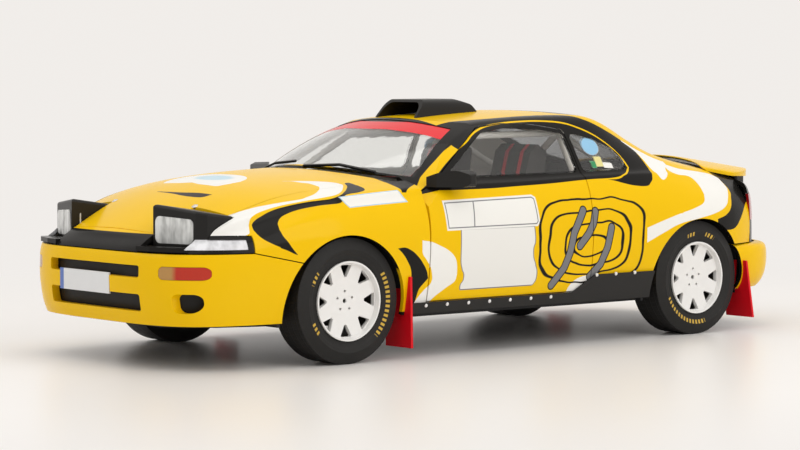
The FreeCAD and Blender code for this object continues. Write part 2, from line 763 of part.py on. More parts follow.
half_height = HEIGHT / 2
screen_cut = screen_face(half_height)
feature("windscreen", glass_skin.common(raise_cut(grown(screen_cut, -mm("glass_gap")))))
hatch_cut = plan_face([(across(x), along(y)) for x, y in HATCH_SHARES], half_height,
                      [3 * CORNER, 3 * CORNER, 0, 0, 0, 0])
glass_cut = plan_face([(across(x), along(y)) for x, y in REAR_GLASS_SHARES], half_height,
                      [2 * CORNER, 2 * CORNER, 0, 2 * CORNER, 2 * CORNER, 0])
hatch = shell.common(raise_cut(grown(hatch_cut, -GAP))).cut(raise_cut(glass_cut))
feature("hatch", max(hatch.Solids, key=lambda solid: solid.Volume))
feature("rear_window", glass_skin.common(raise_cut(grown(glass_cut, -mm("glass_gap")))))

REAR_SPLIT_Z = up(0.387)
bumper_box = box_of(-FAR, FAR, REAR_AXLE, TAIL + OVER, 0, REAR_SPLIT_Z)
body = shell.cut(raise_cut(screen_cut)).cut(raise_cut(hatch_cut)).cut(bumper_box)
for left in (True, False):
    body = body.cut(reach(door_cut, left)).cut(reach(quarter_cut, left))
feature("body_shell", max(body.Solids, key=lambda solid: solid.Volume))

# Tail: panel with its lamps, bumper and wing

tail = thick_skin(tail_net(0), tail_net(WALL))
TAIL_LAMP_HEIGHTS = (up(0.483), up(0.604))
TAIL_LAMP_INNER = across(0.40)
tail_lamp = box_of(TAIL_LAMP_INNER, FAR, CABIN_REAR, FAR, *TAIL_LAMP_HEIGHTS)
lamp_skin = thick_skin(tail_net(-0.15 * WALL), tail_net(0.7 * WALL))
lamp_seat = thick_skin(tail_net(-OVER), tail_net(0.7 * WALL))
feature("tail_panel", tail.cut(both_sides(tail_lamp).common(lamp_seat)))
tail_lamps = both_sides(lamp_skin.common(box_of(
    TAIL_LAMP_INNER + GAP / 2, FAR, CABIN_REAR, FAR, TAIL_LAMP_HEIGHTS[0] + GAP / 2,
    TAIL_LAMP_HEIGHTS[1] - GAP / 2)))
feature("tail_lamps", tail_lamps)

REAR_BUMPER_SHARES = ((0.34, 0.965), (0.46, 0.955), (0.60, 0.925), (0.735, 0.86),
                      (0.85, 0.735), (0.935, 0.545), (0.98, 0.30), (1.0, 0.10))
REAR_BUMPER_ROWS = ((0.072, 0.182), (0.033, 0.205), (0.006, 0.255), (0.0, 0.315),
                    (0.004, 0.357), (0.018, 0.378), (0.05, 0.385), (0.085, 0.385))


def rear_bumper_net(inset):
    points = [(across(x), behind(y)) for y, x in REAR_BUMPER_SHARES]
    line = points + [(-points[-1][0], points[-1][1])]
    tips = inset_path(line, 1)
    half = []
    for k, point in enumerate(points):
        inward = (tips[k][0] - point[0], tips[k][1] - point[1])
        if k == 0:
            inward = (-1, 0)
        rows = inset_path([(-across(d), up(z)) for d, z in REAR_BUMPER_ROWS], inset)
        half.append([Vector(point[0] - inward[0] * d, point[1] - inward[1] * d,
                            min(z, REAR_SPLIT_Z - GAP)) for d, z in rows])
    return half + [[Vector(-p.x, p.y, p.z) for p in column] for column in reversed(half)]


rear_bumper = thick_skin(rear_bumper_net(0), rear_bumper_net(WALL)).cut(arches)
feature("rear_bumper", rear_bumper)

# Each station of the wing: half width, front and rear edge, front top, rear top and rear base
WING_SHARES = ((0.735, 0.285, 0.52, 0.720, 0.694, 0.680), (0.73, 0.258, 0.585, 0.727, 0.695, 0.677),
               (0.62, 0.33, 0.79, 0.742, 0.702, 0.672), (0.44, 0.425, 0.95, 0.754, 0.708, 0.668),
               (0.22, 0.49, 0.985, 0.766, 0.713, 0.668), (0.0, 0.51, 0.99, 0.771, 0.715, 0.668))
WING_FRONT_DEPTH = 0.75 * WALL
WING_TOP_SHARES = ((0.0, 0.62), (0.03, 0.96), (0.14, 1.0), (0.6, 1.0), (1.0, 0.96))
WING_FOOT_SHARES = ((0.56, 0.60), (0.68, 0.62), (0.65, 0.72), (0.54, 0.78))


def wing_net(top):
    # Rows from front to rear for each station across the wing.
    half = []
    for x, front, rear, front_top, rear_top, rear_low in WING_SHARES:
        column = []
        for chord, rise in WING_TOP_SHARES:
            rise = rise if top else 1 - rise
            high = up(front_top) * (1 - chord) + up(rear_top) * chord
            low = (up(front_top) - WING_FRONT_DEPTH) * (1 - chord) + up(rear_low) * chord
            y = behind(front + (rear - front) * chord)
            column.append(Vector(-across(x), y, low + (high - low) * rise))
        half.append(column)
    other = [[Vector(-p.x, p.y, p.z) for p in column] for column in reversed(half[:-1])]
    return half + other


wing = thick_skin(wing_net(True), wing_net(False))
feature("rear_wing", wing)
foot_points = [(across(x), behind(y)) for x, y in WING_FOOT_SHARES]
foot_low = up(TAIL_HEIGHT_SHARES[-1])
foot = plan_prism(foot_points, foot_low, up(WING_SHARES[0][3]), 0.6 * CORNER)
foot = foot.cut(wing).cut(cabin_volume(-GAP / 10)).cut(tail_lamps)
foot = foot.cut(thick_skin(tail_net(-0.1 * GAP), tail_net(3 * WALL)))
deck_line = foot_low + (up(TAIL_DECK_SHARES[0]) - foot_low) / 2
foot = [solid for solid in foot.Solids if deck_line < solid.CenterOfGravity.z < wing.BoundBox.ZMax]
foot = max(foot, key=lambda solid: -solid.CenterOfGravity.z)
feature("wing_feet", Part.makeCompound([foot, mirrored(foot)]))

# Pop-up headlamps: black pods hinged at the rear, with their lenses in front

POD_TOP_SHARES = ((0.4256, 0.872, 0.635), (0.71, 0.80, 0.614), (0.4256, 0.62, 0.606))
POD_FRONT_SHARES = ((0.419, 0.884), (0.721, 0.806))
LENS_SHARES = ((0.441, 0.873), (0.704, 0.804))
LENS_HEIGHTS = (up(0.484), up(0.592))
POD_BASE = LEDGE_TOP + GAP / 3


def pod_solid():
    shares = POD_FRONT_SHARES + POD_PLAN_SHARES[2:]
    outline = plan_face([(across(x), ahead(y)) for x, y in shares], POD_BASE)
    pod = grown(outline, -GAP).extrude(Vector(0, 0, HEIGHT / 4))
    corners = [Vector(across(x), ahead(y), up(z)) for x, y, z in POD_TOP_SHARES]
    normal = (corners[1] - corners[0]).cross(corners[2] - corners[0]).normalize()
    lid = Part.Face(Part.makePolygon([
        corners[0] + Vector(-FAR, -FAR, 0), corners[0] + Vector(FAR, -FAR, 0),
        corners[0] + Vector(FAR, FAR, 0), corners[0] + Vector(-FAR, FAR, 0),
        corners[0] + Vector(-FAR, -FAR, 0)]))
    turn = Rotation(Vector(0, 0, 1), normal if normal.z > 0 else normal * -1)
    lid.Placement = Placement(corners[0] - turn.multVec(corners[0]), turn)
    return pod.cut(lid.extrude(Vector(0, 0, FAR)))


def lens_block(depth, margin, push):
    first = Vector(across(LENS_SHARES[0][0]), ahead(LENS_SHARES[0][1]), 0)
    second = Vector(across(LENS_SHARES[1][0]), ahead(LENS_SHARES[1][1]), 0)
    run = (second - first).normalize()
    inward = Vector(-run.y, run.x, 0)
    start = first + run * margin + inward * push
    stop = second - run * margin + inward * push
    low, high = LENS_HEIGHTS[0] + margin, LENS_HEIGHTS[1] - margin
    outline = [Vector(start.x, start.y, low), Vector(stop.x, stop.y, low),
               Vector(stop.x, stop.y, high - WALL * 0.6), Vector(start.x, start.y, high)]
    return Part.Face(wire_of(outline, CORNER)).extrude(inward * depth)


pod = pod_solid()
pod = pod.makeFillet(0.7 * WALL, [edge for edge in pod.Edges
                                  if edge.BoundBox.ZMin > up(0.56)
                                  and edge.BoundBox.YMin < ahead(0.66)])
pod = pod.cut(lens_block(FAR / 40, 0, -FAR / 80))
pod = pod.cut(box_of(across(0.72) - GAP / 3, FAR, NOSE - OVER, FAR, 0,
                     BAND_TOP - 0.6 * WALL + GAP / 3))
feature("headlamp_pods", Part.makeCompound([pod, mirrored(pod)]))
lens = lens_block(FAR / 40 + WALL, GAP / 3, -FAR / 80 - 0.2 * WALL)
lens = lens.common(grown(plan_face([(across(x), ahead(y)) for x, y in POD_PLAN_SHARES],
                                   LENS_HEIGHTS[0] - OVER), -GAP).extrude(Vector(0, 0, HEIGHT)))
front_cut = lens_block(FAR / 10, -OVER, -FAR / 10 - 0.15 * WALL)
lens = lens.cut(front_cut).cut(pod)
lens = max(lens.Solids, key=lambda solid: solid.Volume)
feature("headlamp_lenses", Part.makeCompound([lens, mirrored(lens)]))

# Bumper inserts

mesh_depth = mm("bumper_wall") + GAP
mesh_box = box_of(-1.03 * SLOT_HALF, 1.03 * SLOT_HALF, NOSE - OVER, ahead(0.8),
                  LOWER_SLOT[0] - 0.5 * WALL, UPPER_SLOT[1] + 0.5 * WALL)
fog_box = box_of(0.95 * FOG_PLACE[0], 1.03 * FOG_PLACE[1], NOSE - OVER, ahead(0.6),
                 FOG_HEIGHTS[0] - 0.5 * WALL, FOG_HEIGHTS[1] + 0.5 * WALL)
mesh = thick_skin(front_net(mesh_depth), front_net(mesh_depth + 0.6 * WALL))
feature("grille_mesh", mesh.common(mesh_box.fuse(both_sides(fog_box))))
indicator_lens = thick_skin(front_net(0.05 * WALL), front_net(0.5 * WALL))
indicator_form = grown(Part.Face(wire_of(
    [Vector(x, NOSE - OVER, z) for x, z in (
        (INDICATOR_PLACE[0], INDICATOR_HEIGHTS[0]), (INDICATOR_PLACE[1], INDICATOR_HEIGHTS[0]),
        (INDICATOR_PLACE[1], INDICATOR_HEIGHTS[1]), (INDICATOR_PLACE[0], INDICATOR_HEIGHTS[1]))],
    0.9 * CORNER)), -GAP / 3).extrude(Vector(0, FAR / 8, 0))
feature("indicators", both_sides(indicator_lens.common(indicator_form)))

PLATE_PLACE = (across(-0.335), across(0.18))
PLATE_HEIGHTS = (up(0.284), up(0.366))
REAR_PLATE_HEIGHTS = (up(0.495), up(0.583))
plate_wall = 0.45 * WALL
front_plate = box_of(*PLATE_PLACE, NOSE + 0.1 * GAP, NOSE + plate_wall, *PLATE_HEIGHTS)
front_bumper = front_bumper.cut(box_of(
    PLATE_PLACE[0] - GAP / 3, PLATE_PLACE[1] + GAP / 3, NOSE - OVER, NOSE + plate_wall + GAP / 10,
    PLATE_HEIGHTS[0] - GAP / 3, PLATE_HEIGHTS[1] + GAP / 3))
nodes[0].Shape = front_bumper
rear_plate_y = tail.BoundBox.YMax
plate_half = (PLATE_PLACE[1] - PLATE_PLACE[0]) / 2
rear_plate = box_of(-plate_half, plate_half, rear_plate_y + GAP / 5,
                    rear_plate_y + plate_wall + GAP / 5, *REAR_PLATE_HEIGHTS)
feature("number_plates", Part.makeCompound([front_plate, rear_plate]))

# Roof scoop, mirrors, wipers, flaps and sill guards

SCOOP_SHARES = ((-0.112, 0.90), (-0.105, 0.953), (-0.074, 1.027), (0.02, 1.029), (0.065, 1.005),
                (0.088, 0.965), (0.088, 0.90))
SCOOP_HALF = across(0.213)
SCOOP_BASE = up(0.9)
SCOOP_TOP = up(1.029)
SCOOP_LIP = 0.75 * WALL
SCOOP_END_SHARES = ((0.0, 0.213), (0.25, 0.207), (0.8, 0.186), (1.0, 0.166))
scoop = side_prism([(along(y), up(z)) for y, z in SCOOP_SHARES], -SCOOP_HALF, SCOOP_HALF,
                   [0, 0, 0.5 * WALL, 2 * CORNER, 2 * CORNER, 0, 0])


def scoop_arch(place, half, rise, inset):
    # The scoop's cross section, wider at its foot and rounded at its top corners.
    outline = [Vector(x, place, z) for x, z in (
        (inset - half, SCOOP_BASE), (half - inset, SCOOP_BASE),
        (0.89 * half - inset, rise - inset), (inset - 0.89 * half, rise - inset))]
    return wire_of(outline, [0, 0, 2 * CORNER, 2 * CORNER])


scoop_front, scoop_rear = along(SCOOP_SHARES[0][0]) - OVER, along(SCOOP_SHARES[-1][0])
scoop_sections = [scoop_arch(scoop_front + (scoop_rear - scoop_front) * place, across(half),
                             SCOOP_TOP, 0) for place, half in SCOOP_END_SHARES]
mouth_sections = [scoop_arch(scoop_front + (scoop_rear - scoop_front) * place, across(half),
                             SCOOP_TOP, SCOOP_LIP) for place, half in SCOOP_END_SHARES[:3]]
mouth = Part.makeLoft(mouth_sections, True)
scoop = scoop.common(Part.makeLoft(scoop_sections, True)).cut(mouth).cut(cabin_volume(-0.1 * GAP))
feature("roof_scoop", max(scoop.Solids, key=lambda solid: solid.Volume))

MIRROR_BASE_SHARES = ((0.86, -0.270), (0.93, -0.262), (1.05, -0.205), (1.04, -0.178),
                      (0.90, -0.222), (0.85, -0.225))
MIRROR_HEIGHTS = (up(0.680), up(0.748))
mirror = plan_prism([(across(x), along(y)) for x, y in MIRROR_BASE_SHARES], *MIRROR_HEIGHTS,
                    [0, 0.5 * CORNER, 0.6 * CORNER, 0.6 * CORNER, 0, 0])
front_cut = Part.Face(wire_of([Vector(x, along(-0.4), z) for x, z in (
    (across(0.84), MIRROR_HEIGHTS[0]), (across(1.03), MIRROR_HEIGHTS[0]),
    (across(1.06), MIRROR_HEIGHTS[0] + CORNER), (across(1.05), MIRROR_HEIGHTS[1] - WALL),
    (across(1.0), MIRROR_HEIGHTS[1]), (across(0.94), MIRROR_HEIGHTS[1] - 0.5 * WALL),
    (across(0.84), MIRROR_HEIGHTS[0] + 2 * WALL))],
    [0, WALL, WALL, 1.5 * WALL, WALL, WALL, 0])).extrude(Vector(0, FAR / 4, 0))
mirror = mirror.common(front_cut).cut(cabin_volume(-0.1 * GAP))
mirror = max(mirror.Solids, key=lambda solid: solid.Volume)
feature("mirrors", Part.makeCompound([mirror, mirrored(mirror)]))

WIPER_SHARES = (((-0.62, 0.0), (-0.36, 0.075), (-0.10, 0.085)),
                ((0.04, 0.025), (0.30, 0.08), (0.56, 0.06)))
wiper_half = 0.26 * WALL


def wiper(points):
    # A bent square bar that lies just above the windscreen.
    sections = []
    for side, rise in points:
        middle = screen_point(side, rise) + SCREEN_NORMAL * (wiper_half + GAP)
        along_screen = Vector(0, 0.9, 0.42) * wiper_half
        off_screen = SCREEN_NORMAL * wiper_half
        corners = [middle + along_screen + off_screen, middle - along_screen + off_screen,
                   middle - along_screen - off_screen, middle + along_screen - off_screen]
        sections.append(wire_of(corners))
    return Part.makeLoft(sections, True, True)


feature("wipers", Part.makeCompound([wiper(points) for points in WIPER_SHARES]))

FLAP_X = (across(0.75), across(0.985))
FLAP_WALL = 0.6 * WALL
FRONT_FLAP_SHARES = ((0.154, 0.045), (0.151, 0.33))
REAR_FLAP_SHARES = ((0.47, 0.055), (0.405, 0.31))


def flap(low, high, gap=0):
    outline = [(low[0] - gap, low[1] - gap), (low[0] + FLAP_WALL + gap, low[1] - gap),
               (high[0] + FLAP_WALL + gap, high[1] + gap), (high[0] - gap, high[1] + gap)]
    return side_prism(outline, FLAP_X[0] - gap, FLAP_X[1] + gap)


front_low, front_high = [(FRONT_AXLE + y * mm("wheelbase"), up(z)) for y, z in FRONT_FLAP_SHARES]
rear_low, rear_high = [(behind(y), up(z)) for y, z in REAR_FLAP_SHARES]
for label, low, high in (("front_mudflaps", front_low, front_high),
                         ("rear_mudflaps", rear_low, rear_high)):
    made = flap(low, high).cut(front_skin).cut(shell).cut(rear_bumper)
    made = max(made.Solids, key=lambda solid: solid.Volume)
    feature(label, Part.makeCompound([made, mirrored(made)]))

GUARD_SHARES = (-0.335, 0.355)
GUARD_STEP_SHARES = (0.115, 0.176)
GUARD_TOPS = (up(0.222), up(0.292))


def guard_net(out, high):
    net = []
    for share in even(*GUARD_SHARES, 9):
        waist_x, waist_z = follow(WAIST_SHARES, share)
        row = []
        for z in even(SILL + 0.1 * WALL, high, 5):
            x = across(waist_x) - side_offset(z, up(waist_z), HEIGHT, 0) + out
            row.append(Vector(x, along(share), z))
        net.append(row)
    return net


guard = thick_skin(guard_net(0.55 * WALL, GUARD_TOPS[1]), guard_net(0.05 * WALL, GUARD_TOPS[1]))
step_low, step_high = [along(share) for share in GUARD_STEP_SHARES]
guard = guard.cut(side_prism(((-FAR, GUARD_TOPS[0]), (step_low, GUARD_TOPS[0]),
                              (step_high, GUARD_TOPS[1]), (step_high, HEIGHT), (-FAR, HEIGHT)),
                             0, FAR))
feature("sill_guards", Part.makeCompound([guard.cut(arches), mirrored(guard.cut(arches))]))

# Base: floor, wheel wells, kingpin brackets and the two bosses for a display stand

FLOOR_FRONT_SHARES = ((0.48, 0.86), (0.70, 0.67), (0.80, 0.45), (0.87, 0.0))
FLOOR_REAR_SHARES = ((0.87, 0.0), (0.82, 0.5), (0.76, 0.68), (0.58, 0.78))
FLOOR_Z = mm("floor_base")
FLOOR_TOP = FLOOR_Z + mm("floor_wall")
floor_front = [(across(x), ahead(y)) for x, y in FLOOR_FRONT_SHARES]
floor_rear = [(across(x), behind(y)) for x, y in FLOOR_REAR_SHARES]
left_edge = floor_front + floor_rear
floor_points = left_edge + [(-x, y) for x, y in reversed(left_edge)]
base = plan_prism(floor_points, FLOOR_Z, FLOOR_TOP)


def well(axle_y):
    outer_radius = mm("well_radius") + mm("well_wall")
    full = arch_cut(axle_y, outer_radius, mm("well_inner_x") - mm("well_wall"),
                    mm("well_outer_x"))
    return full.common(box_of(0, FAR, -FAR, FAR, FLOOR_Z, HEIGHT))


def hollow(axle_y):
    return arch_cut(axle_y, mm("well_radius"), mm("well_inner_x"), FAR)


for axle_y in (FRONT_ARCH_Y, REAR_ARCH_Y):
    base = base.fuse(both_sides(well(axle_y))).cut(both_sides(hollow(axle_y)))

KING_X = mm("kingpin_x")
CLEAR = mm("running_clearance")
HALF_KNUCKLE = mm("knuckle_half_height")
bracket_y = mm("knuckle_width") * 0.9
for level in (1, -1):
    near = AXLE_Z + level * (HALF_KNUCKLE + CLEAR)
    far = near + level * mm("bracket_wall")
    arm = box_of(mm("well_inner_x") - 0.5 * mm("well_wall"), KING_X + 1.6 * mm("kingpin_radius"),
                 FRONT_AXLE - bracket_y, FRONT_AXLE + bracket_y, min(near, far), max(near, far))
    base = base.fuse(both_sides(arm))
pin_hole = Part.makeCylinder(mm("kingpin_radius") + CLEAR, HEIGHT,
                             Vector(KING_X, FRONT_AXLE, FLOOR_Z - OVER))
base = base.cut(both_sides(pin_hole))
ARM_Z = AXLE_Z - HALF_KNUCKLE + 0.8 * WALL
TIE_Y = FRONT_AXLE + mm("steer_arm_length")
TIE_Z = ARM_Z + 1.1 * WALL
arm_slot = box_of(mm("well_inner_x") - 3 * mm("well_wall"), mm("well_inner_x") + OVER,
                  FRONT_AXLE + 1.5 * mm("knuckle_width"), TIE_Y + 2.5 * mm("knuckle_width"),
                  FLOOR_TOP + 0.2 * WALL, AXLE_Z + 1.2 * mm("knuckle_width"))
base = base.cut(both_sides(arm_slot))
STAND_RADIUS = 2.6 * WALL
STAND_BORE = 1.0 * WALL
STAND_Y = (FRONT_AXLE + 0.17 * mm("wheelbase"), REAR_AXLE - 0.155 * mm("wheelbase"))
STAND_DEPTH = 5 * WALL
for stand_y in STAND_Y:
    boss = Part.makeCylinder(STAND_RADIUS, 6 * WALL, Vector(0, stand_y, FLOOR_Z))
    base = base.fuse(boss)
    base = base.cut(Part.makeCylinder(STAND_BORE, STAND_DEPTH, Vector(0, stand_y, FLOOR_Z)))

# Rear axle rod in two saddles of the base
axle_radius = mm("spindle_radius")
saddle = box_of(mm("well_inner_x") - 4 * mm("well_wall"), mm("well_inner_x"),
                REAR_AXLE - 2 * axle_radius, REAR_AXLE + 2 * axle_radius,
                FLOOR_Z, AXLE_Z + 2 * axle_radius)
base = base.fuse(both_sides(saddle))
axle_reach = mm("half_track") + 2 * WALL
axle = Part.makeCylinder(axle_radius, 2 * axle_reach, Vector(-axle_reach, REAR_AXLE, AXLE_Z),
                         Vector(1, 0, 0))
DISC_X = mm("half_track") - 3.4 * WALL
disc = Part.makeCylinder(mm("disc_radius"), mm("disc_wall"), Vector(DISC_X, REAR_AXLE, AXLE_Z),
                         Vector(1, 0, 0))
base = base.cut(Part.makeCylinder(axle_radius + CLEAR / 3, 2 * FAR, Vector(-FAR, REAR_AXLE, AXLE_Z),
                                  Vector(1, 0, 0)))
flap_slots = [flap(front_low, front_high, GAP / 3), flap(rear_low, rear_high, GAP / 3)]
for taken in flap_slots:
    base = base.cut(both_sides(taken))
panel_reach = mm("bumper_wall") + GAP / 2
base = base.cut(thick_skin(front_net(-OVER), front_net(panel_reach)))
base = base.cut(thick_skin(rear_bumper_net(-OVER), rear_bumper_net(WALL + GAP / 2)))
base = base.cut(cabin_volume(-OVER, OVER).cut(cabin_volume(WALL + GAP / 2, 2 * OVER)))
base = max(base.Solids, key=lambda solid: solid.Volume)
feature("chassis", base)
feature("rear_axle", axle.fuse(both_sides(disc)))

# Interior

TUB_SHARES = (-0.270, 0.312)
TUB_HALF = across(0.80)
TUB_TOP = up(0.655)
tub_wall = 0.7 * WALL
tub = box_of(-TUB_HALF, TUB_HALF, along(TUB_SHARES[0]), along(TUB_SHARES[1]), FLOOR_TOP, TUB_TOP)
room = box_of(tub_wall - TUB_HALF, TUB_HALF - tub_wall, along(TUB_SHARES[0]) + tub_wall,
              along(TUB_SHARES[1]) - tub_wall, FLOOR_TOP + tub_wall, HEIGHT)
tub = tub.cut(room)
DECK_PLAN_SHARES = ((0.845, 0.311), (0.845, 0.60), (0.70, 0.675))
deck_left = [(across(x), along(y)) for x, y in DECK_PLAN_SHARES]
rear_deck = plan_prism(deck_left + [(-x, y) for x, y in reversed(deck_left)],
                       up(0.565), up(0.565) + tub_wall)
tub = tub.fuse(rear_deck)
feature("cabin_tub", tub)

CAGE_RADIUS = 0.8 * WALL
CAGE_X = TUB_HALF - tub_wall - CAGE_RADIUS - GAP / 2
DASH_SHARES = ((-0.222, 0.40), (-0.20, 0.48), (-0.195, 0.60), (-0.215, 0.655))
dash_x = CAGE_X - CAGE_RADIUS - GAP
dash_front = along(TUB_SHARES[0]) + tub_wall + GAP / 5
dash_points = [(along(y), up(z)) for y, z in DASH_SHARES]
dash_points += [(dash_front, up(0.67)), (dash_front, up(0.40))]
dashboard = side_prism(dash_points, -dash_x, dash_x, [0, CORNER, CORNER, CORNER, 0, 0])
feature("dashboard", dashboard)

TUB_FLOOR = FLOOR_TOP + tub_wall
SEAT_SHARES = ((0.105, 0.30), (0.16, 0.60), (0.175, 0.80), (0.145, 0.835), (0.125, 0.80),
               (0.10, 0.62), (0.045, 0.42), (-0.08, 0.44), (-0.10, 0.40))
SEAT_X = across(0.36)
SEAT_HALF = across(0.165)
seat_points = [(along(-0.09), TUB_FLOOR), (along(0.075), TUB_FLOOR)]
seat_points += [(along(y), up(z)) for y, z in SEAT_SHARES]
seat = side_prism(seat_points, SEAT_X - SEAT_HALF,
                  SEAT_X + SEAT_HALF, [0, WALL, 0, 0, 0.8 * WALL, 0.8 * WALL, 0, 0, CORNER,
                                       0.8 * WALL, WALL])
SEAT_HOLLOW_SHARES = ((-0.12, 0.38), (0.055, 0.35), (0.125, 0.62), (0.105, 0.76),
                      (0.03, 0.55), (-0.12, 0.50))
seat_hollow = side_prism([(along(y), up(z)) for y, z in SEAT_HOLLOW_SHARES],
                         SEAT_X - 0.68 * SEAT_HALF, SEAT_X + 0.68 * SEAT_HALF,
                         [0, CORNER, 0, 0, 0, 0])
seat = seat.cut(seat_hollow)
feature("seats", Part.makeCompound([seat, mirrored(seat)]))

WHEEL_CENTRE = Vector(SEAT_X, along(-0.145), up(0.60))
wheel_turn = Rotation(Vector(1, 0, 0), -66)
ring_radius = 5 * WALL
ring = Part.makeTorus(ring_radius, 0.42 * WALL)
spokes = [Part.makeBox(ring_radius, 0.9 * WALL, 0.5 * WALL,
                       Vector(0, -0.45 * WALL, -0.25 * WALL)) for _ in range(3)]
for k, spoke in enumerate(spokes):
    spoke.rotate(Vector(0, 0, 0), Vector(0, 0, 1), 90 + 120 * k)
hub = Part.makeCylinder(1.5 * WALL, WALL, Vector(0, 0, -0.5 * WALL))
column = Part.makeCylinder(0.6 * WALL, 8 * WALL, Vector(0, 0, -8 * WALL))
steering = ring.multiFuse(spokes + [hub, column])
steering.Placement = Placement(WHEEL_CENTRE, wheel_turn)
steering = steering.cut(dashboard)
feature("steering_wheel", max(steering.Solids, key=lambda solid: solid.Volume))

CAGE_SHARES = {
    "hoop_foot": (0.195, 0.205), "hoop_waist": (0.195, 0.66),
    "front_foot": (-0.20, 0.205), "front_waist": (-0.225, 0.655),
}
CAGE_TOP_SHARES = {
    "hoop_top": (0.575, 0.192, 0.882), "screen_top": (0.545, -0.085, 0.872),
    "rear_foot": (0.60, 0.50, 0.578), "hoop_middle": (0.0, 0.192, 0.925),
    "screen_middle": (0.0, -0.085, 0.905),
}


def cage_point(name, side=1):
    if name in CAGE_SHARES:
        y, z = CAGE_SHARES[name]
        return Vector(side * CAGE_X, along(y), up(z))
    x, y, z = CAGE_TOP_SHARES[name]
    return Vector(side * across(x), along(y), up(z))


def cage():
    bars = []
    for side in (1, -1):
        for first, second in (("hoop_foot", "hoop_waist"), ("hoop_waist", "hoop_top"),
                              ("hoop_top", "hoop_middle"), ("front_foot", "front_waist"),
                              ("front_waist", "screen_top"), ("screen_top", "hoop_top"),
                              ("screen_top", "screen_middle"), ("hoop_top", "rear_foot"),
                              ("front_foot", "hoop_waist")):
            bars.append((cage_point(first, side), cage_point(second, side)))
    bars.append((cage_point("hoop_top", 1), cage_point("hoop_foot", -1)))
    parts = [rod(start, end, CAGE_RADIUS) for start, end in bars]
    for name in ("hoop_waist", "hoop_top", "front_waist", "screen_top"):
        parts += [Part.makeSphere(CAGE_RADIUS, cage_point(name, side)) for side in (1, -1)]
    return parts[0].multiFuse(parts[1:])


roll_cage = cage().cut(tub)
feature("roll_cage", max(roll_cage.Solids, key=lambda solid: solid.Volume))

EXHAUST_RADIUS = 1.3 * WALL
exhaust_start = Vector(across(-0.45), behind(0.40), FLOOR_Z - EXHAUST_RADIUS)
exhaust_length = behind(0.93) - exhaust_start.y
pipe = Part.makeCylinder(EXHAUST_RADIUS, exhaust_length, exhaust_start, Vector(0, 1, 0))
bore_start = exhaust_start + Vector(0, exhaust_length / 2, 0)
pipe = pipe.cut(Part.makeCylinder(WALL, FAR, bore_start, Vector(0, 1, 0)))
feature("exhaust", pipe)

# Steering: knuckles turn on kingpins and share a tie rod

for side, sign in (("left", 1), ("right", -1)):
    half = mm("knuckle_width") / 2
    upright = box_of(KING_X - half, KING_X + half, FRONT_AXLE - half, FRONT_AXLE + half,
                     AXLE_Z - HALF_KNUCKLE, AXLE_Z + HALF_KNUCKLE)
    pin_reach = HALF_KNUCKLE + CLEAR + 0.9 * mm("bracket_wall")
    kingpin = Part.makeCylinder(mm("kingpin_radius"), 2 * pin_reach,
                                Vector(KING_X, FRONT_AXLE, AXLE_Z - pin_reach))
    spindle = Part.makeCylinder(axle_radius, axle_reach - KING_X,
                                Vector(KING_X, FRONT_AXLE, AXLE_Z), Vector(1, 0, 0))
    front_disc = Part.makeCylinder(mm("disc_radius"), mm("disc_wall"),
                                   Vector(DISC_X, FRONT_AXLE, AXLE_Z), Vector(1, 0, 0))
    arm = box_of(KING_X - 0.6 * half, KING_X + 0.6 * half, FRONT_AXLE, TIE_Y + half,
                 ARM_Z - 0.4 * WALL, ARM_Z + 0.4 * WALL)
    pin = Part.makeCylinder(mm("tie_pin_radius"), 1.9 * WALL, Vector(KING_X, TIE_Y, ARM_Z))
    knuckle = upright.multiFuse([kingpin, spindle, front_disc, arm, pin])
    feature("knuckle_" + side, knuckle if sign > 0 else mirrored(knuckle))

tie = rod(Vector(-KING_X, TIE_Y, TIE_Z), Vector(KING_X, TIE_Y, TIE_Z), mm("tie_rod_radius") * 0.7)
eye = Part.makeCylinder(mm("tie_rod_radius") * 1.5, 0.9 * WALL,
                        Vector(KING_X, TIE_Y, TIE_Z - 0.45 * WALL))
tie = tie.fuse(both_sides(eye))
tie = tie.cut(both_sides(Part.makeCylinder(mm("tie_pin_radius") + CLEAR, HEIGHT / 2,
                                           Vector(KING_X, TIE_Y, FLOOR_TOP))))
feature("tie_rod", tie)

# Wheels: tyre and rim are revolved about the X axis, the rim's windows are one patterned pocket

FRONT_AXLE_SIZE = "(Sizes.front_overhang - Sizes.wheelbase - Sizes.rear_overhang) / 2"
REAR_AXLE_SIZE = "(Sizes.front_overhang + Sizes.wheelbase - Sizes.rear_overhang) / 2"
HALF_RIM = "Sizes.rim_width / 2"
FACE_X = "(Sizes.rim_width / 2 - 2.5 * Sizes.flange_wall)"
BEAD_X = "(Sizes.rim_width / 2 - 1.3 * Sizes.flange_wall)"
CHEEK_X = "Sizes.tyre_width / 2"
CHEEK_RADIUS = "(Sizes.flange_radius + Sizes.tyre_radius) / 2"
TREAD_X = "Sizes.tread_width / 2"
TYRE_PROFILE = (
    ("-" + BEAD_X, "Sizes.bead_radius"),
    (BEAD_X, "Sizes.bead_radius"),
    (CHEEK_X, CHEEK_RADIUS),
    (TREAD_X, "Sizes.tyre_radius"),
    ("-" + TREAD_X, "Sizes.tyre_radius"),
    ("-" + CHEEK_X, CHEEK_RADIUS),
)
BARREL_X = HALF_RIM + " - Sizes.flange_wall"
SEAT_RADIUS = "Sizes.bead_radius - 0.05 * Sizes.flange_wall"
INNER_RADIUS = "Sizes.bead_radius - Sizes.barrel_wall"
BORE_RADIUS = "Sizes.spindle_radius + Sizes.running_clearance"
CAP_RADIUS = "0.6 * Sizes.spindle_radius"
DISH_RADIUS = "Sizes.window_foot_radius - Sizes.window_tip"
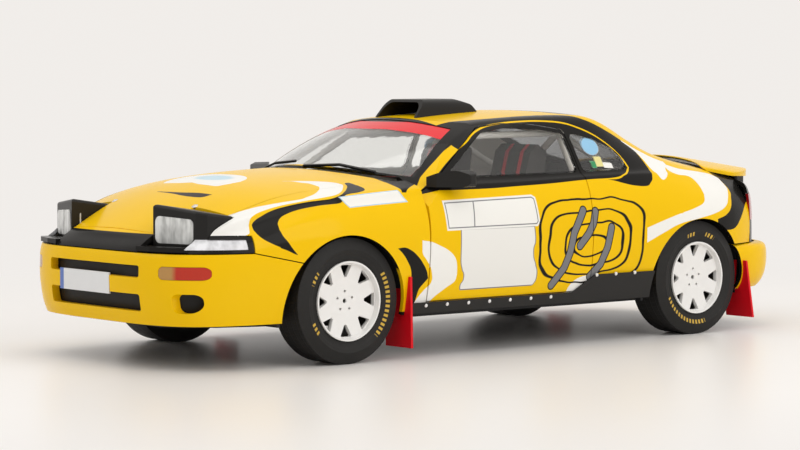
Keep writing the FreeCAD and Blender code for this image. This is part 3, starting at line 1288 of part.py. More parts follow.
RIM_PROFILE = (
    (HALF_RIM, "Sizes.flange_radius"),
    (BARREL_X, "Sizes.flange_radius"),
    (BARREL_X, SEAT_RADIUS),
    ("-(" + BARREL_X + ")", SEAT_RADIUS),
    ("-(" + BARREL_X + ")", "Sizes.flange_radius"),
    ("-" + HALF_RIM, "Sizes.flange_radius"),
    ("-" + HALF_RIM, INNER_RADIUS),
    (FACE_X + " - Sizes.rim_disc_wall", INNER_RADIUS),
    (FACE_X + " - Sizes.rim_disc_wall - Sizes.rim_dish / 2", DISH_RADIUS),
    ("0.6 * Sizes.rim_dish", "1.9 * Sizes.spindle_radius"),
    ("0.6 * Sizes.rim_dish", BORE_RADIUS),
    (FACE_X + " - Sizes.rim_disc_wall * 0.9", BORE_RADIUS),
    (FACE_X + " - Sizes.rim_disc_wall * 0.9", CAP_RADIUS),
    (FACE_X + " - Sizes.rim_dish * 0.7", CAP_RADIUS),
    (FACE_X + " - Sizes.rim_dish * 0.4", DISH_RADIUS),
    (FACE_X, INNER_RADIUS),
    (HALF_RIM, "Sizes.flange_radius - Sizes.flange_wall * 0.8"),
)


def origin_part(body, role):
    return [part for part in body.Origin.OriginFeatures if part.Role == role][0]


def sketch_on(body, role, name):
    made = body.newObject("Sketcher::SketchObject", name)
    made.AttachmentSupport = [(origin_part(body, role), "")]
    made.MapMode = "FlatFace"
    return made


def draw_outline(sketch, points):
    # A closed polygon whose corners are held at the given expressions.
    count = len(points)
    turns = [2 * math.pi * k / count for k in range(count)]
    spots = [Vector(math.cos(turn), math.sin(turn), 0) * mm("bead_radius") for turn in turns]
    for k in range(count):
        sketch.addGeometry(Part.LineSegment(spots[k], spots[(k + 1) % count]))
    for k in range(count):
        sketch.addConstraint(Sketcher.Constraint("Coincident", k, 2, (k + 1) % count, 1))
    for k, (x, y) in enumerate(points):
        for kind, size, spot in (("DistanceX", x, spots[k].x), ("DistanceY", y, spots[k].y)):
            number = sketch.addConstraint(Sketcher.Constraint(kind, -1, 1, k, 1, spot))
            sketch.setExpression("Constraints[%d]" % number, size)
    doc.recompute()


def place_wheel(body, side, axle_size):
    sign = "" if side == "left" else "-"
    body.setExpression(".Placement.Base.x", sign + "Sizes.half_track")
    body.setExpression(".Placement.Base.y", axle_size)
    body.setExpression(".Placement.Base.z", "Sizes.tyre_radius")
    if side == "right":
        body.Placement = Placement(Vector(0, 0, 0), Rotation(Vector(0, 0, 1), 180))
    nodes.append(body)


def new_body(label):
    body = doc.addObject("PartDesign::Body", label)
    body.Label = label
    return body


def make_tyre(label, side, axle_size):
    body = new_body(label)
    profile = sketch_on(body, "XZ_Plane", label + "_profile")
    draw_outline(profile, TYRE_PROFILE)
    turned = body.newObject("PartDesign::Revolution", label + "_turned")
    turned.Profile = profile
    turned.ReferenceAxis = (profile, ["H_Axis"])
    turned.Angle = 360
    place_wheel(body, side, axle_size)


def make_rim(label, side, axle_size):
    body = new_body(label)
    profile = sketch_on(body, "XZ_Plane", label + "_profile")
    draw_outline(profile, RIM_PROFILE)
    turned = body.newObject("PartDesign::Revolution", label + "_turned")
    turned.Profile = profile
    turned.ReferenceAxis = (profile, ["H_Axis"])
    turned.Angle = 360
    doc.recompute()
    window = sketch_on(body, "YZ_Plane", label + "_window")
    spread = "Sizes.window_width / 2"
    corner_radius = "Sizes.window_top_radius - Sizes.window_tip"
    draw_outline(window, (
        ("-Sizes.window_tip", "Sizes.window_foot_radius"),
        ("Sizes.window_tip", "Sizes.window_foot_radius"),
        (spread, corner_radius), (spread + " - Sizes.window_tip", "Sizes.window_top_radius"),
        ("-(" + spread + " - Sizes.window_tip)", "Sizes.window_top_radius"),
        ("-" + spread, corner_radius)))
    cut_round(body, label + "_window_cuts", window, 8)
    lug = sketch_on(body, "YZ_Plane", label + "_lug_hole")
    centre = Vector(0, mm("lug_circle_radius"), 0)
    lug.addGeometry(Part.Circle(centre, Vector(0, 0, 1), mm("lug_hole_radius")))
    lug.addConstraint(Sketcher.Constraint("PointOnObject", 0, 3, -2))
    height = lug.addConstraint(Sketcher.Constraint("DistanceY", -1, 1, 0, 3, centre.y))
    lug.setExpression("Constraints[%d]" % height, "Sizes.lug_circle_radius")
    size = lug.addConstraint(Sketcher.Constraint("Radius", 0, mm("lug_hole_radius")))
    lug.setExpression("Constraints[%d]" % size, "Sizes.lug_hole_radius")
    doc.recompute()
    cut_round(body, label + "_lug_cuts", lug, 5)
    place_wheel(body, side, axle_size)


def cut_round(body, name, profile, count):
    # Cuts the profile through the disc and repeats it round the axle.
    pocket = body.newObject("PartDesign::Pocket", name)
    pocket.Profile = profile
    pocket.Type = "ThroughAll"
    pocket.Reversed = True
    doc.recompute()
    pattern = body.newObject("PartDesign::PolarPattern", name + "_pattern")
    pattern.Originals = [pocket]
    pattern.Axis = (origin_part(body, "X_Axis"), [""])
    pattern.Angle = 360
    pattern.Occurrences = count
    body.Tip = pattern
    doc.recompute()


for end, axle_size in (("front", FRONT_AXLE_SIZE), ("rear", REAR_AXLE_SIZE)):
    for side in ("left", "right"):
        make_tyre("tyre_%s_%s" % (end, side), side, axle_size)
        make_rim("rim_%s_%s" % (end, side), side, axle_size)

doc.recompute()
for made in doc.Objects:
    if "Invalid" in made.State or "Error" in made.State:
        raise RuntimeError("not computed: " + made.Label)
for made in nodes:
    if made.Shape.isNull() or not made.Shape.isValid():
        raise RuntimeError("not a valid shape: " + made.Label)
for made in nodes:
    made.Shape.exportStep("parts/%s.step" % made.Label)
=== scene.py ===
import math
from functools import reduce

import bmesh
import bpy
from mathutils import Matrix, Vector


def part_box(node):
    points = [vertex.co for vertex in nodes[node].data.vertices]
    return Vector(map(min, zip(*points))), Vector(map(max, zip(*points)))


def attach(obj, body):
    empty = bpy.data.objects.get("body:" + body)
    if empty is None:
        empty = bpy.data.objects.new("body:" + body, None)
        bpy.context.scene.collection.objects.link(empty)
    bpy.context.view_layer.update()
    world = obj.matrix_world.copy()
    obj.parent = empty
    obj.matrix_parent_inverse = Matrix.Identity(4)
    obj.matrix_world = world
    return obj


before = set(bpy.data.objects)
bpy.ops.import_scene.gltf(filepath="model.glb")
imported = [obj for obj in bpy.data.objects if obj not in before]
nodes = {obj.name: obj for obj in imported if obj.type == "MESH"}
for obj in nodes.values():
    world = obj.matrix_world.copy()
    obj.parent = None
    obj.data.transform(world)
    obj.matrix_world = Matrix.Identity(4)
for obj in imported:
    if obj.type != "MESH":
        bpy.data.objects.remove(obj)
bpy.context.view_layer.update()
MM = 0.001
EDGE = 0.12  # millimetres over which one painted area runs into the next

# Numbers worked out at each point of a surface


class Num:
    """A number that a material works out at each point, with the usual arithmetic."""

    def __init__(self, tree, socket):
        self.tree = tree
        self.socket = socket

    def _math(self, operation, *others, clamp=False):
        node = self.tree.nodes.new("ShaderNodeMath")
        node.operation = operation
        node.use_clamp = clamp
        for socket, value in zip(node.inputs, (self, *others)):
            if isinstance(value, Num):
                self.tree.links.new(value.socket, socket)
            else:
                socket.default_value = value
        return Num(self.tree, node.outputs[0])

    def __add__(self, other):
        return self._math("ADD", other)

    __radd__ = __add__

    def __sub__(self, other):
        return self._math("SUBTRACT", other)

    def __rsub__(self, other):
        return (self * -1) + other

    def __mul__(self, other):
        return self._math("MULTIPLY", other)

    __rmul__ = __mul__

    def __truediv__(self, other):
        return self._math("DIVIDE", other)

    def low(self, other):
        return self._math("MINIMUM", other)

    def high(self, other):
        return self._math("MAXIMUM", other)

    def size(self):
        """The number without its sign."""
        return self._math("ABSOLUTE")

    def root(self):
        return self._math("SQRT")

    def power(self, exponent):
        return self._math("POWER", exponent)

    def limited(self, low, high):
        return self.high(low).low(high)

    def sine(self):
        return self._math("SINE")

    def angle(self, other):
        """The angle in radians of the point (other, self)."""
        return self._math("ARCTAN2", other)

    def part(self):
        """What is left of the number after its whole part."""
        return self._math("FRACT")

    def clamped(self):
        return self._math("ADD", 0.0, clamp=True)

    def step(self, blur=EDGE):
        """1 where the number is above 0 and 0 where it is below, over a short blur."""
        return ((self / blur) + 0.5).clamped()


def curve(x, points, straight=False):
    """A line through (x, value) points, read at x. Outside them it keeps the end values."""
    xs = [p[0] for p in points]
    vs = [p[1] for p in points]
    x0, x1 = min(xs), max(xs)
    v0, v1 = min(vs), max(max(vs), min(vs) + 1e-3)
    node = x.tree.nodes.new("ShaderNodeFloatCurve")
    line = node.mapping.curves[0]
    spots = [((a - x0) / (x1 - x0), (b - v0) / (v1 - v0)) for a, b in points]
    line.points[0].location = spots[0]
    line.points[1].location = spots[-1]
    for spot in spots[1:-1]:
        line.points.new(*spot)
    for point in line.points:
        point.handle_type = "VECTOR" if straight else "AUTO_CLAMPED"
    node.mapping.extend = "HORIZONTAL"
    node.mapping.update()
    share = (x - x0) / (x1 - x0)
    x.tree.links.new(share.socket, node.inputs["Value"])
    return Num(x.tree, node.outputs[0]) * (v1 - v0) + v0


def between(x, v, upper, lower, straight=False):
    """1 inside the area between two lines of (x, v) points."""
    first = max(upper[0][0], lower[0][0])
    last = min(upper[-1][0], lower[-1][0])
    inside = (curve(x, upper, straight) - v).step() * (v - curve(x, lower, straight)).step()
    return inside * (x - first).step() * (last - x).step()


def any_of(*areas):
    """1 where any of the areas is 1."""
    return reduce(Num.high, areas)


def inside_of(x, v, corners):
    """The distance inside a convex outline whose corners run anticlockwise."""
    gaps = []
    for (a, b), (c, d) in zip(corners, corners[1:] + corners[:1]):
        length = math.hypot(c - a, d - b)
        along, out = (c - a) / length, (d - b) / length
        gaps.append((v - b) * along - (x - a) * out)
    return reduce(Num.low, gaps)


def stroke(y, z, points, width):
    """1 on a round-ended brush stroke through the points, which are (along, up)."""
    gaps = []
    for (a, b), (c, d) in zip(points, points[1:]):
        share = ((y - a) * (c - a) + (z - b) * (d - b)) * (1 / ((c - a) ** 2 + (d - b) ** 2))
        share = share.limited(0.0, 1.0)
        off, rise = y - a - share * (c - a), z - b - share * (d - b)
        gaps.append((off * off + rise * rise).root())
    return (width / 2 - reduce(Num.low, gaps)).step()


def new_material(name):
    """A node material, its node tree and its shader."""
    made = bpy.data.materials.new(name)
    made.use_nodes = True
    shader = made.node_tree.nodes["Principled BSDF"]
    return made, made.node_tree, shader


def place(tree):
    """Where a point is in the model, in millimetres: across, along and up."""
    coordinates = tree.nodes.new("ShaderNodeTexCoord")
    split = tree.nodes.new("ShaderNodeSeparateXYZ")
    tree.links.new(coordinates.outputs["Object"], split.inputs[0])
    return [Num(tree, split.outputs[i]) * (1 / MM) for i in range(3)]


def noise(tree, size, detail=2.0, stretch=None):
    """A soft random number from 0 to 1 with spots of the given size in millimetres."""
    coordinates = tree.nodes.new("ShaderNodeTexCoord")
    grain = tree.nodes.new("ShaderNodeTexNoise")
    grain.inputs["Scale"].default_value = 1 / (size * MM)
    grain.inputs["Detail"].default_value = detail
    source = coordinates.outputs["Object"]
    if stretch:
        mapping = tree.nodes.new("ShaderNodeMapping")
        mapping.inputs["Scale"].default_value = stretch
        tree.links.new(source, mapping.inputs["Vector"])
        source = mapping.outputs[0]
    tree.links.new(source, grain.inputs["Vector"])
    return Num(tree, grain.outputs["Fac"])


def mix_colour(tree, share, below, above):
    """below where share is 0 and above where it is 1."""
    node = tree.nodes.new("ShaderNodeMix")
    node.data_type = "RGBA"
    tree.links.new(share.socket, node.inputs["Factor"])
    for index, value in ((6, below), (7, above)):
        if isinstance(value, tuple):
            node.inputs[index].default_value = (*value, 1)
        else:
            tree.links.new(value, node.inputs[index])
    return node.outputs[2]


def bump(tree, shader, height, distance):
    """Raises the surface by height, a number from 0 to 1, times a distance in millimetres."""
    node = tree.nodes.new("ShaderNodeBump")
    node.inputs["Strength"].default_value = 1
    node.inputs["Distance"].default_value = distance * MM
    tree.links.new(height.socket, node.inputs["Height"])
    tree.links.new(node.outputs[0], shader.inputs["Normal"])


def tinted(tree, colour, amount, size, detail=3.0):
    """A colour with slow spots of a slightly darker shade of it."""
    darker = tuple(c * (1 - amount) for c in colour)
    return mix_colour(tree, noise(tree, size, detail), darker, colour)


def link_number(tree, value, socket):
    """Gives a shader's socket a number that is worked out at each point."""
    tree.links.new(value.socket, socket)


def plain(name, colour, rough, grain=0.4, depth=0.01, metal=0.0):
    """A moulded or painted finish with fine grain, slow colour spots and uneven gloss."""
    made, tree, shader = new_material(name)
    tree.links.new(tinted(tree, colour, 0.12, grain * 12), shader.inputs["Base Color"])
    gloss = noise(tree, grain * 6, 4.0) * 0.12 + (rough - 0.06)
    link_number(tree, gloss, shader.inputs["Roughness"])
    bump(tree, shader, noise(tree, grain, 3.0), depth)
    shader.inputs["Metallic"].default_value = metal
    shader.inputs["Specular IOR Level"].default_value = 0.22
    return made


# Colours

YELLOW = (0.93, 0.565, 0.002)
WHITE = (0.89, 0.88, 0.84)
SHEET_WHITE = tuple(c * 0.95 for c in WHITE)
BLACK = (0.012, 0.011, 0.010)
PALE_BLUE = (0.30, 0.56, 0.78)
PATCH_BLUE = (0.50, 0.70, 0.80)
SUN_RED = (0.78, 0.022, 0.030)
GREY = (0.20, 0.20, 0.21)
LINING = (0.80, 0.77, 0.71)
RIM_WHITE = (0.88, 0.87, 0.85)

# The stripes: points are (along, out, up) in millimetres on the panels. They are drawn
# on one flat picture of deck and side together, whose height is up less SLOPE * out.

SLOPE = 0.6
LINE_WIDTH = 0.6
SIDE_OUT = 44.0
SILL_TOP = 13.6
SILL_REACH = 60
PILLAR_FOOT = 47.6
BAND_TOP = [
    (-110.5, 36.0, 40.8), (-103.6, 35.3, 42.2), (-101.5, 33.4, 43.2), (-98.9, 31.4, 44.6),
    (-95.0, 28.2, 46.6), (-90.0, 24.6, 48.4), (-84.0, 18.5, 50.3), (-78.0, 21.5, 50.9),
    (-72.3, 24.6, 50.93), (-68.0, 27.0, 50.9), (-64.6, 29.2, 50.7), (-62.2, 31.2, 50.5),
    (-61.2, 33.4, 50.2), (-61.1, 34.6, 49.9),
]
BAND_BOTTOM = [
    (-110.5, 41.5, 36.0), (-100.4, 41.5, 37.0), (-99.5, 40.8, 38.1), (-99.0, 39.7, 39.7),
    (-98.3, 39.6, 41.1), (-97.1, 39.8, 42.1), (-95.4, 40.3, 43.1), (-92.4, 40.9, 44.1),
    (-88.8, 41.6, 45.0), (-84.4, 42.3, 45.7), (-79.2, 42.7, 46.4), (-73.9, 42.7, 47.0),
    (-70.0, 42.3, 47.5), (-66.2, 40.3, 48.3), (-63.4, 37.6, 49.2), (-61.6, 35.4, 49.7),
    (-61.1, 34.6, 49.9),
]
TONGUE_TOP = [
    (-101.8, 33.2, 43.6), (-97.0, 29.3, 45.9), (-92.0, 24.6, 48.3), (-86.0, 16.5, 50.4),
    (-80.0, 17.5, 50.9), (-76.0, 21.0, 50.9), (-74.0, 23.8, 50.9), (-72.3, 24.9, 50.9),
    (-71.0, 27.6, 50.6), (-69.3, 30.0, 50.3), (-68.6, 31.9, 50.0), (-69.0, 33.6, 49.6),
]
TONGUE_BOTTOM = [
    (-101.8, 34.6, 42.4), (-98.9, 35.8, 43.4), (-96.6, 36.8, 44.1), (-94.1, 37.7, 44.7),
    (-92.1, 38.6, 45.1), (-89.1, 39.7, 45.6), (-84.8, 40.9, 46.2), (-81.7, 41.4, 46.6),
    (-78.9, 40.8, 47.1), (-76.0, 39.8, 47.6), (-72.3, 37.5, 48.5), (-69.7, 34.9, 49.3),
    (-69.0, 33.6, 49.6),
]
SWOOSH_TOP = [
    (-98.5, 41.6, 38.1), (-98.2, 40.4, 39.7), (-96.8, 40.3, 40.9), (-95.3, 40.7, 41.8),
    (-93.3, 41.2, 42.9), (-90.9, 41.6, 43.8), (-87.9, 42.2, 44.6), (-84.1, 42.7, 45.3),
    (-79.5, 43.1, 45.9), (-76.2, 43.4, 46.2), (-72.7, 43.5, 46.5), (-69.3, 43.0, 47.2),
    (-65.6, 40.6, 48.0), (-62.9, 38.4, 48.8), (-60.5, 35.6, 49.6), (-58.9, 33.0, 50.3),
    (-57.8, 33.0, 50.4), (-57.2, 39.0, 49.1),
]
SWOOSH_BOTTOM = [
    (-98.5, 41.6, 38.0), (-98.0, 42.9, 36.8), (-96.8, 43.9, 35.6), (-94.7, 44.8, 34.5),
    (-92.4, 45.5, 33.6), (-91.8, 45.6, 33.4), (-91.7, 44.0, 39.4), (-91.0, 43.4, 40.7),
    (-89.5, 43.0, 41.9), (-87.8, 43.0, 42.6), (-85.2, 43.2, 43.4), (-82.3, 43.5, 44.0),
    (-78.9, 43.8, 44.5), (-75.9, 43.9, 44.8), (-73.2, 44.1, 45.0), (-69.7, 44.2, 45.3),
    (-66.6, 42.9, 47.4), (-60.9, 42.2, 48.1), (-58.3, 41.0, 48.5), (-57.2, 39.2, 49.0),
]
SPUR_TOP = [
    (-92.1, 44.0, 39.4), (-91.5, 44.8, 38.0), (-91.0, 45.4, 36.7), (-89.7, 45.9, 35.0),
    (-88.2, 46.3, 33.0), (-86.7, 46.5, 31.4),
]
SPUR_BOTTOM = [
    (-92.1, 45.6, 33.3), (-89.8, 46.0, 32.5), (-87.6, 46.4, 31.6), (-86.7, 46.5, 31.3),
]
FIN_TOP = [
    (-51.3, 47.6, 32.0), (-49.2, 47.6, 32.2), (-46.5, 47.5, 31.4), (-43.7, 47.3, 29.5),
    (-41.6, 47.1, 27.4), (-39.9, 46.8, 25.0), (-39.2, 46.5, 23.0),
]
FIN_BOTTOM = [
    (-51.3, 47.6, 31.9), (-49.5, 47.5, 30.4), (-47.5, 47.3, 28.0), (-46.1, 47.1, 25.6),
    (-45.7, 46.8, 22.8), (-45.5, 46.2, 17.0), (-44.1, 45.5, 15.6), (-42.3, 46.1, 19.9),
    (-40.6, 46.3, 21.6), (-39.2, 46.5, 22.9),
]
LEAF_TOP = [
    (-44.4, 46.0, 33.8), (-41.9, 47.3, 33.9), (-38.6, 47.1, 33.3), (-35.4, 47.2, 32.2),
    (-31.9, 47.2, 30.6), (-29.5, 47.1, 28.6), (-28.6, 46.9, 26.5), (-28.3, 46.6, 23.6),
]
LEAF_BOTTOM = [
    (-44.4, 46.0, 15.0), (-39.0, 45.4, 15.6), (-35.4, 45.6, 17.8), (-31.6, 46.0, 20.0),
    (-28.9, 46.3, 21.6), (-28.3, 46.6, 23.5),
]
LEAF_NOTCH_TOP = [
    (-44.6, 47.3, 35.0), (-42.1, 47.3, 34.4), (-42.0, 47.3, 30.6), (-40.2, 47.1, 28.2),
    (-38.4, 46.9, 25.8), (-37.7, 46.6, 23.4), (-37.6, 46.4, 22.6),
]
LEAF_NOTCH_BOTTOM = [
    (-44.6, 46.1, 15.2), (-42.3, 45.7, 17.6), (-40.0, 46.0, 19.8), (-38.1, 46.3, 21.3),
    (-37.6, 46.4, 22.5),
]
CHIP_TOP = [
    (16.0, 45.7, 16.2), (16.9, 46.0, 17.8), (19.1, 46.4, 19.6), (22.2, 46.6, 20.6),
    (26.7, 46.7, 20.9), (27.2, 46.7, 20.6),
]
CHIP_BOTTOM = [
    (16.0, 45.7, 15.0), (21.0, 45.6, 15.6), (23.0, 45.8, 16.3), (25.7, 46.1, 17.7),
    (26.8, 46.7, 19.5), (27.2, 46.7, 20.5),
]
RAIL_TOP = [
    (-19.4, 30.0, 63.6), (-18.0, 26.5, 66.0), (-15.0, 24.2, 67.6), (-10.0, 24.6, 68.2),
    (-5.0, 25.7, 68.3), (5.0, 27.4, 68.7), (18.2, 27.2, 68.7), (30.3, 27.8, 68.0),
    (36.3, 30.2, 66.7), (42.9, 32.3, 64.2), (47.2, 33.3, 62.3), (50.5, 34.3, 60.4),
    (53.5, 35.7, 58.2), (54.9, 38.1, 55.5), (55.6, 40.8, 52.4),
]
RAIL_BOTTOM = [
    (-19.4, 34.2, 60.6), (-17.8, 35.4, 59.4), (-10.0, 38.0, 56.0), (30.0, 44.0, 50.0),
    (36.9, 44.7, 49.1), (41.2, 45.1, 48.1), (45.2, 45.4, 47.4), (49.5, 45.5, 47.1),
    (52.8, 44.8, 48.2), (54.6, 43.5, 50.3), (55.6, 40.9, 52.3),
]
GLASSHOUSE_TOP = [
    (-39.6, 43.3, 47.9), (-31.0, 40.2, 52.0), (-24.5, 37.7, 55.8), (-17.8, 35.3, 59.4),
    (-13.3, 33.3, 61.8), (-10.0, 32.2, 63.9), (-7.2, 31.7, 65.3), (-3.2, 31.2, 66.5),
    (2.0, 31.1, 67.2), (10.2, 31.1, 67.5), (20.3, 31.3, 67.1), (26.1, 31.9, 66.5),
    (31.4, 33.0, 65.0), (36.4, 34.4, 63.0), (39.6, 35.6, 61.2), (42.6, 37.0, 59.1),
    (44.8, 38.3, 56.9), (46.3, 39.8, 54.6), (46.8, 41.0, 52.9),
]
GLASSHOUSE_BOTTOM = [
    (-39.6, 43.4, 47.8), (-33.0, 44.4, 47.7), (-18.5, 44.6, 47.7), (-1.9, 44.6, 48.2),
    (10.3, 44.5, 48.6), (27.2, 44.2, 49.4), (36.7, 44.4, 49.4), (42.0, 43.8, 50.4),
    (45.2, 42.4, 51.5), (46.8, 41.1, 52.8),
]
PILLAR = [  # (along, out)
    (-46.5, 44.4), (-43.7, 42.8), (-34.7, 37.6), (-27.4, 36.0), (-19.0, 33.6), (-15.0, 32.0),
]
QUARTER_TOP = [
    (49.8, 34.2, 60.9), (57.1, 35.7, 57.5), (64.6, 37.0, 54.6), (66.0, 37.0, 54.2),
]
QUARTER_BOTTOM = [
    (49.8, 34.4, 60.5), (53.6, 36.2, 58.0), (55.7, 38.8, 55.0), (56.6, 41.0, 52.5),
    (57.4, 43.2, 50.2), (58.8, 44.2, 48.8), (60.6, 43.8, 49.4), (62.4, 42.2, 50.6),
    (63.8, 40.2, 52.0), (66.0, 38.2, 53.2),
]
HOOK_TOP = [
    (48.2, 48.0, 34.4), (55.8, 48.0, 36.5), (62.5, 47.9, 38.2), (64.3, 47.9, 38.6),
    (64.5, 38.2, 53.2), (71.1, 39.0, 51.9), (81.5, 38.0, 50.6), (87.9, 37.4, 49.5),
    (89.9, 39.0, 47.8), (90.8, 41.3, 45.3),
]
HOOK_BOTTOM = [
    (48.2, 47.9, 29.8), (55.7, 48.2, 32.8), (62.3, 48.2, 35.1), (71.4, 48.1, 36.6),
    (80.3, 47.3, 38.2), (85.2, 46.1, 39.9), (87.9, 44.4, 42.3), (90.8, 41.4, 45.2),
]
HOOK_NOTCH_TOP = [
    (64.1, 39.8, 52.2), (66.1, 42.2, 50.5), (72.8, 42.2, 49.3), (74.9, 43.7, 47.0),
    (75.6, 45.6, 43.9),
]
HOOK_NOTCH_BOTTOM = [
    (64.1, 47.9, 38.6), (69.6, 47.6, 39.8), (74.4, 46.9, 41.5), (75.6, 45.7, 43.8),
]
TAIL_EDGE = [
    (79.9, 47.7, 36.0), (84.9, 46.9, 37.4), (88.0, 45.7, 39.5), (89.8, 44.0, 42.2),
    (91.3, 41.7, 44.7), (90.7, 40.1, 46.5), (89.6, 38.5, 48.4), (88.0, 36.5, 50.3),
    (86.5, 30.0, 52.0),
]
TAIL_FOOT = [  # (along, height on the flat picture)
    (79.0, 3.9), (85.1, 4.0), (87.9, 4.5), (89.7, 5.3), (92.6, 8.0), (94.3, 9.9), (98.2, 14.4),
    (100.1, 16.1),
]

# The patch on the bonnet: (out, along)

PATCH_REAR = [(0, -76), (8, -76.5), (13, -79), (15.5, -83)]
PATCH_FRONT = [(0, -89), (6, -90), (12, -90), (14.5, -87.5), (15.5, -83.4)]

# The drawing behind the door: rings as (along, up, half length, half height, corner),
# and strokes through (along, up)

CONTOURS = (
    (25.0, 31.5, 21.5, 12.5, 4.0), (24.0, 31.0, 17.0, 9.4, 3.2), (26.0, 30.5, 12.0, 6.2, 2.8),
    (24.5, 30.0, 6.5, 3.0, 2.4),
)
CONTOUR_HALF = 0.28
SWIPES = [
    [(9.5, 18.5), (14, 23.5), (16, 28), (17.5, 34), (21.5, 40.5)],
    [(20, 30), (23.5, 33.5), (25.5, 36.5), (26.5, 40)],
    [(25, 20.5), (29, 24), (31.5, 29), (33, 35)],
]
SWIPE_WIDTH = 2.3
SWIPE_OUTER_WIDTH = 3.0

# The blank sheets: corners as (along, up), but the fender's on the flat picture, and the
# door sheet's two sides as (up, along)

NAME_SHEET = [(-66.9, 16.84), (-45.3, 18.08), (-47.9, 22.66), (-69.8, 20.96)]
NUMBER_BAND = [(-32.5, 36.3), (2.7, 36.5), (3.7, 37.7), (2.9, 45.0), (1.5, 45.8), (-33.3, 45.0)]
SHEET_LEFT = [
    (18.5, -26.0), (19.7, -26.8), (21.2, -26.1), (22.6, -25.7), (24.7, -26.5), (29.1, -27.3),
    (36.6, -27.3),
]
SHEET_RIGHT = [
    (18.5, 0.6), (19.5, 2.4), (21.9, 3.2), (24.9, 2.4), (29.4, 1.2), (32.4, 1.9), (36.6, 1.5),
]
SHEET_FOOT, SHEET_TOP = 18.8, 36.6
DIVIDER_Y = -21.8
RULE_INSET = 0.75
RULE_HALF = 0.16


def contour(y, z, middle, level, reach, rise, corner):
    """A drawn ring, rounder for a small corner number and squarer for a large one."""
    wide, tall = (y - middle) * (1 / reach), (z - level) * (1 / rise)
    size = (wide.size().power(corner) + tall.size().power(corner)).power(1 / corner)
    return (CONTOUR_HALF - ((size - 1.0) * rise).size()).step()


def flat(points):
    """Outline points as (along, height on the flat picture)."""
    return [(along, up - SLOPE * out) for along, out, up in points]


def stripe(y, v, top, bottom):
    """1 inside the stripe between two lines of (along, out, up) points."""
    return between(y, v, flat(top), flat(bottom))


def paint(top, area, colour):
    """Puts a colour over what is painted so far, inside an area."""
    return mix_colour(area.tree, area, top, colour)


def bonnet_layers(x, y, v, yellow):
    """The white band with its yellow tongue, and the pale patch in the middle."""
    patch = between(x.size(), y, PATCH_REAR, PATCH_FRONT) * (v - 10).step()
    wide, tall = (x - 1) * 0.125, (y + 82) * 0.285
    blue = (1.0 - (wide * wide + tall * tall).root()).step(0.3) * patch
    return [
        (stripe(y, v, BAND_TOP, BAND_BOTTOM), WHITE),
        (stripe(y, v, TONGUE_TOP, TONGUE_BOTTOM), yellow),
        (patch, WHITE), (blue, PATCH_BLUE),
    ]


def side_layers(y, v):
    """The black swoosh and fin on the wings, and the white leaf on the doors."""
    swoosh = any_of(stripe(y, v, SWOOSH_TOP, SWOOSH_BOTTOM), stripe(y, v, SPUR_TOP, SPUR_BOTTOM))
    notch = stripe(y, v, LEAF_NOTCH_TOP, LEAF_NOTCH_BOTTOM)
    leaf = any_of(stripe(y, v, LEAF_TOP, LEAF_BOTTOM) * (1 - notch),
                  stripe(y, v, CHIP_TOP, CHIP_BOTTOM))
    return [(swoosh, BLACK), (stripe(y, v, FIN_TOP, FIN_BOTTOM), BLACK), (leaf, WHITE)]


def door_layers(y, z, side):
    """The blank white sheet on the door and the blank ruled band above it."""
    sheet = (y - curve(z, SHEET_LEFT)).low(curve(z, SHEET_RIGHT) - y)
    sheet = sheet.low(z - SHEET_FOOT).low(SHEET_TOP - z)
    outline = (RULE_HALF - (sheet - 0.1).size()).step()
    band = inside_of(y, z, NUMBER_BAND)
    ruled = (RULE_HALF - (band - RULE_INSET).size()).step()
    divider = (0.2 - (y - DIVIDER_Y - (z - 41) * 0.05).size()).step() * (band - RULE_INSET).step()
    return [
        (sheet.step() * side, SHEET_WHITE), (outline * side, GREY),
        (band.step() * side, WHITE), (any_of(ruled, divider) * side, GREY),
    ]


def roof_layers(y, z, v, out):
    """The black roof rail, the black round the glass in its yellow line, and the pillar."""
    top, bottom = flat(GLASSHOUSE_TOP), flat(GLASSHOUSE_BOTTOM)
    end = top[-1][0] - LINE_WIDTH
    black_top = [(a, b - (LINE_WIDTH * 1.3 if a > -17 else 0.1)) for a, b in top[:-2]]
    black_top.append((end, bottom[-1][1]))
    black_bottom = [(a, b + (0.2 if a < 30 else LINE_WIDTH)) for a, b in bottom[:-2]]
    black_bottom.append((end, bottom[-1][1] - 0.1))
    pillar = between(y, out, PILLAR, [(-46.5, 0.0), (-15.0, 0.0)], straight=True)
    return [
        (stripe(y, v, RAIL_TOP, RAIL_BOTTOM), BLACK),
        (between(y, v, top, bottom), YELLOW),
        (between(y, v, black_top, black_bottom), BLACK),
        (pillar * (z - PILLAR_FOOT).step(), BLACK),
    ]


def tail_layers(y, v):
    """The white hook behind the quarter window and the black tail."""
    notch = stripe(y, v, HOOK_NOTCH_TOP, HOOK_NOTCH_BOTTOM)
    hook = any_of(stripe(y, v, QUARTER_TOP, QUARTER_BOTTOM),
                  stripe(y, v, HOOK_TOP, HOOK_BOTTOM) * (1 - notch))
    front = [(level, along) for along, level in flat(TAIL_EDGE)]
    tail = (y - curve(v, front)).step() * (v - curve(y, TAIL_FOOT)).step()
    return [(hook, WHITE), (tail, BLACK)]


def name_layers(y, v):
    """The blank sheet with a blue edge on the fender."""
    sheet = inside_of(y, v, NAME_SHEET)
    return [(sheet.step(), WHITE), ((0.12 - (sheet - 0.2).size()).step(), PALE_BLUE)]


